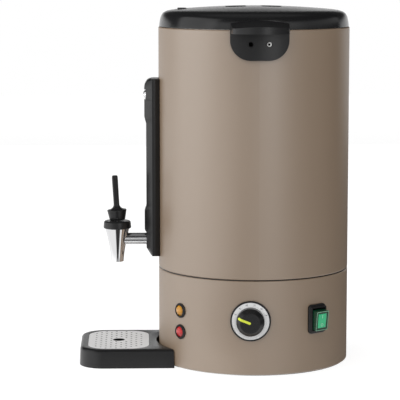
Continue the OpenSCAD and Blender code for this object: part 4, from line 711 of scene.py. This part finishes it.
class URN_OT_tap(bpy.types.Operator):
    """Chrome tap with its black bonnet and lever."""

    bl_idname = "urn.tap"
    bl_label = "Tap"

    def execute(self, context):
        s = context.scene.urn_sizes
        away = np.array([0, -TAP_R, 0])
        t = np.linspace(0, 1, 25)[1:]
        wall = np.stack([8.7 + 8.4 * t**1.5, 140.0 + 47.4 * t], -1)
        lip = fillet([(5.2, 140.8, 0), (5.2, 140.0, 0.3), (8.7, 140.0, 0.5), (8.7, 140.8, 0)])
        cone = np.concatenate([lip, wall, [[9.5, 187.4], [9.5, 165.0], [5.2, 165.0]]])
        cone = sheet(revolve(cone, 128) + away, wrap_rows=True)
        built("tap_cone", [cone], "root", "chrome", ("tap_body",))
        soft = s.bonnet_round / MM
        collar = fillet([(9.4, 179.0, 0), (9.4, 187.7, 0), (18.8, 187.7, 0.8), (19.65, 188.8, 0.8),
                         (18.9, 196.9, soft), (17.4, 198.3, soft), (2.55, 198.3, 0), (2.55, 192.9, 0),
                         (6.6, 192.9, 0), (6.6, 179.0, 0)], closed=True)
        collar = sheet(revolve(collar, 128) + away, wrap_rows=True)
        built("tap_collar", [collar], "root", "black_plastic", ("tap_bonnet",))
        self.lever()
        return {"FINISHED"}

    def lever(self):
        """Superelliptic sections stacked along the lever: a round foot that widens upwards, a hollow flare
        and a flat stick that widens to its rounded end. A slot for the valve stem runs up into the foot."""
        count, slot_top = 96, 5.2
        turn = np.arange(count) * (TAU / count)
        # Height, half thickness, half width and squareness of each section.
        flare = np.radians(np.linspace(270, 188, 12))
        foot = [(-4.5, 9.6), (-4.5, 10.2), (-4.2, 10.7), (-3.5, 11.0), (2.0, 12.2), (9.2, 13.6), (9.9, 13.7),
                (10.3, 13.5), (10.5, 12.9)]
        rows = [(z, r, r, 2.0) for z, r in foot]
        for i, a in enumerate(flare):
            share = i / (len(flare) - 1)
            rows.append((18.2 + 7.7 * math.sin(a), 12.7 + 8.6 * math.cos(a), 12.7 + 7.1 * math.cos(a),
                         2.0 + 1.6 * share))
        rows += [(22.0, 4.1, 5.6, 3.8), (30.0, 4.1, 5.9, 4.0), (40.0, 4.2, 6.5, 4.0), (50.0, 4.25, 7.1, 4.0),
                 (54.6, 4.25, 7.4, 4.0), (56.8, 4.2, 7.3, 4.0), (58.0, 3.95, 6.9, 3.8), (58.7, 3.4, 6.2, 3.4),
                 (58.95, 2.6, 4.9, 3.0), (59.0, 1.2, 2.6, 2.4), (59.0, 0.0, 0.0, 2.0)]
        z, thick, wide, square = (np.array(c)[:, None] for c in zip(*rows))
        cx, cy = (np.sign(v) * np.abs(v) ** (2 / square) for v in (np.cos(turn), np.sin(turn)))
        outside = np.stack([thick * cx, wide * cy, z + 0 * cx], -1)
        slot = round_rect(10.7, 5.3, 1.2, count // 4 - 1)
        order = np.argmin(np.abs(np.arctan2(slot[:, 1], slot[:, 0])))
        slot = np.roll(slot, -order, 0) + np.array([1.0, 0.0])
        pole = np.tile([1.0, 0.0], (count, 1))
        points = np.concatenate([layered([(pole, slot_top), (slot, slot_top), (slot, rows[0][0])]), outside])
        x, z = turned(points[..., 0], points[..., 2], -math.radians(LEVER_LEAN))
        points = np.stack([x, points[..., 1], z], -1)
        points = front(points + np.array([TAP_R, 0, PIN_Z]))
        built("tap_handle", [sheet(points)], "lever", "black_plastic", ("tap_lever",), sharp=42)


# ---- Controls ----


class URN_OT_dial(bpy.types.Operator):
    """Dial rim, brushed ring with numbers, knob and pointer."""

    bl_idname = "urn.dial"
    bl_label = "Dial"

    def execute(self, context):
        s = context.scene.urn_sizes
        rim = fillet([(9.0, 136.1, 0), (25.75, 136.1, 0), (25.75, 138.2, 0.6), (27.75, 138.2, 1.3),
                      (27.75, BEZEL_SEAT, 0)])
        rim = facing(seated_ring(rim, (27.75, 24.0, 20.0, 16.0, 12.0, 9.0), 128), *DIAL)
        built("dial_bezel", [sheet(rim, wrap_rows=True)], "root", "black_plastic", ("dial_rim",))
        face = fillet([(9.2, 136.25, 0), (25.65, 136.25, 0), (25.65, RING_FACE, 0.3), (9.2, RING_FACE, 0.3)],
                      closed=True)
        face = sheet(facing(revolve(face, 128), *DIAL), wrap_rows=True)
        c = context.scene.urn_colours
        # Brushed pale metal whose fine lines run up and down.
        brushed = make_finish("brushed_ring", base=c.ring, rough=0.34, metal=0.08, mottle=0.05,
                              mottle_scale=60, grain=0.25, stretch=(1, 8, 0.4))
        built("dial_ring", [face], "root", "white_plastic", ("dial_face",), brushed)
        soft = s.knob_round / MM
        grip = fillet([(0, 137.7, 0), (19.4, 137.7, 0.4), (19.0, 147.4, soft), (13.6, KNOB_FACE, soft),
                       (0, KNOB_FACE, 0)])
        # A shallow dish in the knob's face.
        knob = revolve(np.concatenate([grip[:-1], [[11.0, 154.1], [7.0, 153.95], [0, 153.9]]]), 128)
        built("knob_grip", [sheet(facing(knob, *DIAL))], "thermostat_knob", "black_plastic", ("knob",))
        self.pointer()
        self.numbers(s.number_size)
        return {"FINISHED"}

    def pointer(self):
        """A bar carried along the knob's face and bevel, whose inner end is round."""
        wide, tip, angle = 1.7, 0.7, math.radians(159.0)
        path = fillet([(-0.9, 153.95, 0), (13.6, KNOB_FACE, 1.2), (17.6, 149.2, 0)], steps=5)
        along = np.concatenate([[0], np.cumsum(np.hypot(*np.diff(path, axis=0).T))])
        t = np.concatenate([np.linspace(0, wide, 9), np.linspace(wide, along[-1], 40)[1:]])
        rho, z = np.interp(t, along, path[:, 0]), np.interp(t, along, path[:, 1])
        dr, dz = np.gradient(rho, t), np.gradient(z, t)
        size = np.hypot(dr, dz)
        nr, nz = -dz / size, dr / size
        half = wide * np.sqrt(1 - (1 - np.clip(t / wide, 0, 1)) ** 2)
        half = half * np.sqrt(np.clip((along[-1] - t) / tip, 0, 1))
        section = fillet([(-1, -0.9, 0), (1, -0.9, 0), (1, 0.35, 0.2), (-1, 0.35, 0.2)], closed=True, steps=3)
        v = half[:, None] * section[None, :, 0]
        out = section[None, :, 1]
        r, h = rho[:, None] + out * nr[:, None], z[:, None] + out * nz[:, None]
        points = np.stack([*turned(r, v, angle), h], -1)
        ends = [np.repeat(p.mean(0)[None], points.shape[1], 0)[None] for p in (points[0], points[-1])]
        points = facing(np.concatenate([ends[0], points, ends[1]]), *DIAL)
        built("knob_mark", [sheet(points)], "thermostat_knob", "yellow_plastic", ("knob_pointer",))

    def numbers(self, size):
        """Plain numbers round the ring, each made a mesh before it is put in its place."""
        middle_r = 22.6
        points, faces, start = [], [], 0
        for text, angle in zip(("30", "45", "60", "75", "90", "100"), (156, 130, 103, 76, 49.5, 22)):
            curve = bpy.data.curves.new("number", "FONT")
            curve.body = text
            curve.size = size
            curve.align_x = curve.align_y = "CENTER"
            curve.extrude = 0.00004
            holder = placed("number", curve)
            ready = holder.evaluated_get(bpy.context.evaluated_depsgraph_get())
            mesh = bpy.data.meshes.new_from_object(ready)
            flat = np.zeros(len(mesh.vertices) * 3)
            mesh.vertices.foreach_get("co", flat)
            turn = math.radians(angle)
            middle = np.array([middle_r * math.cos(turn), middle_r * math.sin(turn), RING_FACE + 0.04])
            points.append(facing(flat.reshape(-1, 3) / MM + middle, *DIAL))
            faces += [[i + start for i in p.vertices] for p in mesh.polygons]
            start += len(mesh.vertices)
            bpy.data.objects.remove(holder)
            bpy.data.meshes.remove(mesh)
            bpy.data.curves.remove(curve)
        mesh = bpy.data.meshes.new("dial_numbers")
        mesh.from_pydata((np.concatenate(points) * MM).tolist(), [], faces)
        c = bpy.context.scene.urn_colours
        ink = make_finish("number_ink", base=c.numbers, rough=0.5, mottle=0.08, grain=0.05)
        piece("dial_numbers", mesh, "root", "black_plastic", (), ink)


class URN_OT_lamps(bpy.types.Operator):
    """Two domed lamps in black surrounds."""

    bl_idname = "urn.lamps"
    bl_label = "Lamps"

    def execute(self, context):
        lens_r, inner_r, outer_r = 7.6, 7.7, 10.3
        rim = fillet([(inner_r, 134.3, 0), (inner_r, 137.0, 0.3), (8.7, 137.0, 0.5), (9.1, 135.7, 0.3),
                      (outer_r, 135.3, 0.4), (outer_r, BEZEL_SEAT, 0)])
        ring = seated_ring(rim, (outer_r, 9.0, inner_r), 96)
        lens = revolve(np.concatenate([dome(lens_r, 4.4, 139.4, 20), [[lens_r, 134.3], [0, 134.3]]]), 96)
        for name, place in LAMPS.items():
            lamp = [sheet(facing(lens, *place))]
            built(f"{name}_dome", lamp, "root", f"{name}_plastic", (f"{name}_lens",))
        surrounds = [sheet(facing(ring, *place), wrap_rows=True) for place in LAMPS.values()]
        built("lamp_surrounds", surrounds, "root", "black_plastic", ("lamp_bezels",))
        return {"FINISHED"}


class URN_OT_switch(bpy.types.Operator):
    """Rocker switch with its surround and its on and off marks."""

    bl_idname = "urn.switch"
    bl_label = "Rocker switch"

    def execute(self, context):
        rows = [(23.2, 30.6, 0.8, 137.0), (23.2, 30.6, 0.8, 139.7), (23.5, 30.9, 0.9, 139.95),
                (24.2, 31.6, 1.2, 140.0), (26.4, 34.0, 1.9, 140.0), (27.1, 34.7, 2.1, 139.8),
                (27.4, 35.0, 2.2, 139.3), (27.6, 35.3, 2.3, 137.3), (27.9, 35.9, 2.6, 137.0),
                (28.4, 38.7, 4.1, 137.0), (29.2, 39.7, 4.6, 136.75), (29.8, 40.3, 4.9, 136.2),
                (30.0, 40.5, 5.0, 135.4), (30.0, 40.5, 5.0, 0), (26.0, 35.0, 3.0, 0), (23.2, 30.6, 0.8, 0)]
        surround = sheet(facing(stacked(rows, 8), *SWITCH), wrap_rows=True)
        built("switch_surround", [surround], "root", "black_plastic", ("switch_frame",))

        c = context.scene.urn_colours
        # Height of the rocker's face over its pivot.
        face = 15.6
        rows = [(0.0, 0.0, 0.0, 0.5), (21.6, 18.0, 1.2, 0.5), (22.4, 27.0, 1.5, 4.5),
                (22.4, 27.6, 1.5, face - 0.9), (22.2, 27.4, 1.5, face - 0.35), (21.7, 27.0, 1.4, face - 0.05),
                (21.3, 26.6, 1.2, face), (20.0, 25.2, 1.1, face), (19.5, 24.7, 1.0, face - 0.3),
                (19.2, 24.4, 1.0, face - 0.8), (0.0, 0.0, 0.0, face - 0.8)]
        self.part("rocker_cap", [(stacked(rows, 6), False)], None, ("rocker",))
        # A thin pale loop over the face's rim, a painted highlight on its ridge.
        rows = [(21.5, 26.8, 1.3, face - 0.06), (21.2, 26.5, 1.2, face + 0.08),
                (20.2, 25.4, 1.1, face + 0.08), (19.9, 25.1, 1.1, face - 0.06)]
        pale = make_finish("green_rim_highlight", base=c.green_rim_highlight, rough=0.3, grain=0.05)
        self.part("rocker_rim_highlight", [(stacked(rows, 6), True)], pale)
        rows = [(0.0, 0.0, 0.0, face - 1.2), (14.6, 19.8, 1.0, face - 1.2), (14.6, 19.8, 1.0, face - 0.5),
                (14.2, 19.4, 0.9, face - 0.3), (9.0, 14.0, 0.8, face - 0.25), (0.0, 0.0, 0.0, face - 0.2)]
        glow = make_finish("green_face", base=c.green, rough=0.22, mottle=0.12, mottle_scale=140, grain=0.05,
                           coat=0.5)
        self.part("rocker_window", [(stacked(rows, 6), False)], glow)
        # A bar for on and a ring for off, both slightly raised.
        low, high = face - 0.4, face - 0.1
        bar = [(0.0, 0.0, 0.0, low), (1.4, 4.8, 0.7, low), (1.4, 4.8, 0.7, high - 0.1), (1.2, 4.6, 0.5, high),
               (0.0, 0.0, 0.0, high)]
        ring = np.array([[1.2, low], [1.2, high], [2.3, high], [2.3, low]])
        ring = revolve(ring, 48) + np.array([0, -5.7, 0])
        pale = make_finish("pale_marks", base=c.marks, rough=0.35, mottle=0.04, grain=0.05)
        self.part("rocker_marks", [(stacked(bar, 6, 5.9), False), (ring, True)], pale)
        return {"FINISHED"}

    def part(self, name, loops, material, nodes=()):
        """A piece of the rocker from pairs of points and whether they close into a ring, turned about the
        rocker's pivot and placed on the wall."""
        tilt, pivot = math.radians(6.5), 131.0
        sheets = []
        for points, ring in loops:
            y, z = turned(points[..., 1], points[..., 2], tilt)
            placed = facing(np.stack([points[..., 0], y, z + pivot], -1), *SWITCH)
            sheets.append(sheet(placed, wrap_rows=ring))
        built(name, sheets, "switch_rocker", "green_plastic", nodes, material)


# ---- Drip tray ----


class URN_OT_tray(bpy.types.Operator):
    """Drip tray: loops round the middle of the grid, from the basin over the deck and down the outside."""

    bl_idname = "urn.tray"
    bl_label = "Drip tray"

    def execute(self, context):
        count, reach, floor_z = 720, 140, 7.0
        centre = np.array([191.8, 0.0])
        turn = np.arange(count) * (TAU / count)
        heading = np.stack([np.cos(turn), np.sin(turn)], -1)
        front_x, half_w, corner = 246.4, 73.0, 34.0

        def plan(inset, extra):
            def inside(x, y):
                middle = (front_x - inset) / 2
                box = box_distance(x - middle, y, middle, half_w - inset, max(corner - inset, 1))
                body = BODY_R + 0.6 + extra - np.hypot(x, y)
                notch = 114.0 + extra - np.hypot(x - 23.5, y)
                return np.maximum(np.maximum(box, body), notch)
            return ray_loop(centre, heading, inside, reach)

        def well(grow):
            def inside(x, y):
                return box_distance(x - centre[0], y, 39.0 + grow, 59.5 + grow, 24.0 + grow)
            return ray_loop(centre, heading, inside, reach)

        soft = context.scene.urn_sizes.tray_fillet / MM
        pole = np.tile(centre, (count, 1))
        rows = [(pole, floor_z), (centre + 0.5 * (well(-soft) - centre), floor_z)]
        for a in np.radians(np.linspace(0, 90, 6)):
            rows.append((well(-soft * (1 - math.sin(a))), floor_z + soft * (1 - math.cos(a))))
        rows += [(well(0), 24.5), (well(0.4), 24.9), (well(3.8), 24.9), (well(4.2), 25.1), (well(4.2), 26.1),
                 (well(4.35), 26.4), (well(4.7), 26.5)]
        for a in np.radians(np.linspace(90, 0, 8)):
            share = 1 - math.cos(a)
            rows.append((plan(0.8 + 4.5 * share, 0.8 * share), 22.0 + 4.5 * math.sin(a)))
        rows += [(plan(0.4, 0), 11.0), (plan(0.0, 0), 0.4), (plan(0.4, 0.3), 0.0), (plan(3.3, 2.6), 0.0),
                 (plan(3.5, 2.8), 0.3), (plan(3.5, 2.8), 22.3), (well(2.5), 22.3), (well(2.5), 5.5),
                 (well(1.5), 4.5), (pole, 4.5)]
        built("tray_shell", [sheet(front(layered(rows)))], "tray", "black_plastic", ("drip_tray",))
        return {"FINISHED"}


# ---- Stage ----


def area_light(name, azimuth, height, distance, width, tall, radiance):
    """A soft panel on a circle round the body that faces it; its watts follow from its radiance and area."""
    aim = Vector((0, 0, 0.25))
    light = bpy.data.lights.new(name, "AREA")
    light.shape = "RECTANGLE"
    light.size, light.size_y = width, tall
    light.energy = radiance * math.pi * width * tall
    holder = placed(name, light)
    a = math.radians(azimuth)
    holder.location = (distance * math.cos(a), distance * math.sin(a), height)
    holder.rotation_euler = (aim - holder.location).to_track_quat("-Z", "Y").to_euler()


def surroundings(n, way):
    """What reflections see along a direction, from its turn round the urn and its rise over the horizon in
    radians: near the horizon bright on the left and behind, half dim in front and dark on the right; white
    straight below, a soft band above the horizon in front and on the right, and faint light overhead."""
    axes = n.axes(way)
    turn = n.math("ARCTAN2", axes[1], axes[0])
    rise = n.math("ARCSINE", axes[2])
    full_turn, full_rise = 3.15, 1.6
    horizon = n.levels(turn, full_turn, (-3.15, 0.9), (-2.6, 0.9), (-1.9, 1.4), (-0.62, 1.4), (-0.2, 0.42),
                       (0.65, 0.42), (1.0, 0.14), (1.5, 0.12), (1.9, 0.02), (2.9, 0.02), (3.0, 0.9))
    level = n.levels(rise, full_rise, (-0.4, 0.0), (-0.24, 1.0), (0.0, 1.0), (0.08, 0.0))
    below = n.levels(rise, full_rise, (-0.4, 0.95), (-0.24, 0.0))
    ahead = n.levels(turn, full_turn, (-1.2, 0.0), (-0.8, 1.0), (0.8, 1.0), (1.1, 0.5), (2.2, 0.4),
                     (2.4, 0.0))
    band = n.levels(rise, full_rise, (0.1, 0.0), (0.15, 0.9), (0.3, 0.9), (0.4, 0.0))
    over = n.levels(rise, full_rise, (0.9, 0.0), (1.1, 0.16))
    faint = 0.02
    return n.total(n.product(level, horizon), below, n.product(band, ahead), over, faint)


def stage_sheet(name, points):
    """A plain stage object of a grid of points, given as the nodes of its material."""
    mesh = mesh_of(name, [sheet(points, wrap_columns=False)])
    if mesh.polygons[0].normal.z < 0:
        mesh.flip_normals()
    material = bpy.data.materials.new(name + "_paper")
    material.use_nodes = True
    mesh.materials.append(material)
    placed(name, mesh)
    return Nodes(material.node_tree)


class URN_OT_stage(bpy.types.Operator):
    """Pale floor, backdrop, soft light and the camera."""

    bl_idname = "urn.stage"
    bl_label = "Stage"

    def execute(self, context):
        scene = context.scene
        scene.view_settings.view_transform = "Standard"
        self.camera(scene)
        self.floor()
        self.backdrop()
        self.world(scene)
        area_light("Key panel", -78, 0.95, distance=2.2, width=2.3, tall=1.9, radiance=1.0)
        area_light("Front strip", 17, 0.9, distance=2.6, width=0.8, tall=1.6, radiance=1.9)
        return {"FINISHED"}

    def camera(self, scene):
        camera = bpy.data.cameras.new("Camera")
        camera.lens = LENS
        camera.sensor_width = 36
        holder = placed("Camera", camera)
        holder.location = CAMERA_PLACE
        heading, tilt = math.radians(CAMERA_HEADING), math.radians(CAMERA_TILT)
        level = math.cos(tilt)
        look = Vector((math.cos(heading) * level, math.sin(heading) * level, -math.sin(tilt)))
        holder.rotation_euler = look.to_track_quat("-Z", "Y").to_euler()
        scene.camera = holder

    def floor(self):
        """A flat square under the urn: white paper with a soft shadow to the eye; to reflections, white
        beside the tray and with a dark gap in front of the tap where they look steeply down."""
        u = np.linspace(-FLOOR_REACH, FLOOR_REACH, 5)
        x, y = np.meshgrid(u, u)
        n = stage_sheet("floor", np.stack([x, y, 0 * x], -1))
        shader = n.tree.nodes["Principled BSDF"]
        eye, mirror = n.rays()
        n.put(shader, {"Base Color": (0.5, 0.5, 0.5, 1), "Roughness": 0.9, "Specular IOR Level": 0.0,
                       "Emission Color": WHITE, "Emission Strength": n.product(eye, FLOOR_GLOW)})
        incoming = n.add("NewGeometry").outputs["Incoming"]
        way = n.add("VectorMath", {0: incoming, "Scale": -1.0}, operation="SCALE").outputs[0]
        place = n.axes(n.add("TexCoord").outputs["Object"])
        # Where the gap begins and the white beside the tray ends, and the gap's middle, in metres.
        edge, gap_y = (0.17, 0.21), -0.165
        off_gap = n.math("ABSOLUTE", n.math("SUBTRACT", place["Y"], gap_y))
        in_gap = n.product(n.ramp(place["X"], *edge, 0.0, 0.96), n.ramp(off_gap, 0.08, 0.13, 1.0, 0.0),
                           n.ramp(n.axes(way)["Z"], -0.36, -0.22, 1.0, 0.0))
        level = n.product(surroundings(n, way), n.math("SUBTRACT", 1.0, in_gap))
        beside = n.product(n.ramp(place["X"], *edge, 0.9, 0.0), n.ramp(place["Y"], -0.13, -0.09, 1.0, 0.0))
        glow = n.add("Emission", {"Color": WHITE, "Strength": n.math("MAXIMUM", level, beside)})
        self.surface(n, mirror, shader, glow)

    def backdrop(self):
        """A wide wall behind the urn, clear to the eye, whose upper part fades to dark in reflections."""
        u, v = np.meshgrid(np.linspace(-BACKDROP_REACH, BACKDROP_REACH, 5), np.linspace(0, BACKDROP_TOP, 5))
        n = stage_sheet("backdrop", np.stack([0 * u + BACKDROP_X, u, v], -1))
        eye, mirror = n.rays()
        height = n.axes(n.add("TexCoord").outputs["Object"])["Z"]
        mirrored = n.levels(height, BACKDROP_TOP * MM, (0.72, 1.0), (1.22, 0.04), (2.4, 0.02))
        glow = n.add("Emission", {"Color": WHITE, "Strength": n.mix(mirror, DARK_SIDE, mirrored)})
        self.surface(n, eye, glow, n.add("BsdfTransparent"))

    def surface(self, n, share, first, second):
        """Gives a material the first shader's surface, or the second's where share is 1."""
        both = n.add("MixShader", {0: share, 1: first.outputs[0], 2: second.outputs[0]})
        n.put(n.tree.nodes["Material Output"], {"Surface": both.outputs[0]})

    def world(self, scene):
        """White to the eye, a light that is stronger on one side, and in reflections the surroundings."""
        scene.world = bpy.data.worlds.new("Studio")
        scene.world.use_nodes = True
        n = Nodes(scene.world.node_tree)
        eye, mirror = n.rays()
        way = n.add("TexCoord").outputs["Generated"]
        axes = n.axes(way)
        # How far a direction points to the bright side, which is 50 degrees from +X towards the tap.
        side = n.math("SUBTRACT", n.product(axes[0], 0.643), n.product(axes[1], 0.766))
        light = n.mix(mirror, n.ramp(side, -0.5, 0.5, DARK_SIDE, LIGHT_SIDE), surroundings(n, way))
        n.put(n.tree.nodes["Background"], {"Color": WHITE, "Strength": n.mix(eye, light, 1.0)})


# ---- Add-on ----


class URN_PT_sidebar(bpy.types.Panel):
    """Lists the urn's pieces."""

    bl_idname = "URN_PT_sidebar"
    bl_label = "Hot Water Urn"
    bl_space_type = "VIEW_3D"
    bl_region_type = "UI"
    bl_category = "Urn"

    def draw(self, context):
        for operator in OPERATORS:
            self.layout.operator(operator.bl_idname)
        for group in (context.scene.urn_sizes, context.scene.urn_colours):
            box = self.layout.box()
            for name in group.__annotations__:
                box.prop(group, name)


OPERATORS = (URN_OT_stage, URN_OT_finishes, URN_OT_lid, URN_OT_handles, URN_OT_gauge, URN_OT_tap, URN_OT_dial,
             URN_OT_lamps, URN_OT_switch, URN_OT_tray)
CLASSES = (UrnSizes, UrnColours, *OPERATORS, URN_PT_sidebar)


def register():
    for cls in CLASSES:
        bpy.utils.register_class(cls)
    bpy.types.Scene.urn_sizes = bpy.props.PointerProperty(type=UrnSizes)
    bpy.types.Scene.urn_colours = bpy.props.PointerProperty(type=UrnColours)


def unregister():
    del bpy.types.Scene.urn_colours
    del bpy.types.Scene.urn_sizes
    for cls in reversed(CLASSES):
        bpy.utils.unregister_class(cls)


def main():
    register()
    for operator in OPERATORS:
        group, name = operator.bl_idname.split(".")
        getattr(getattr(bpy.ops, group), name)()


if __name__ == "__main__":
    main()
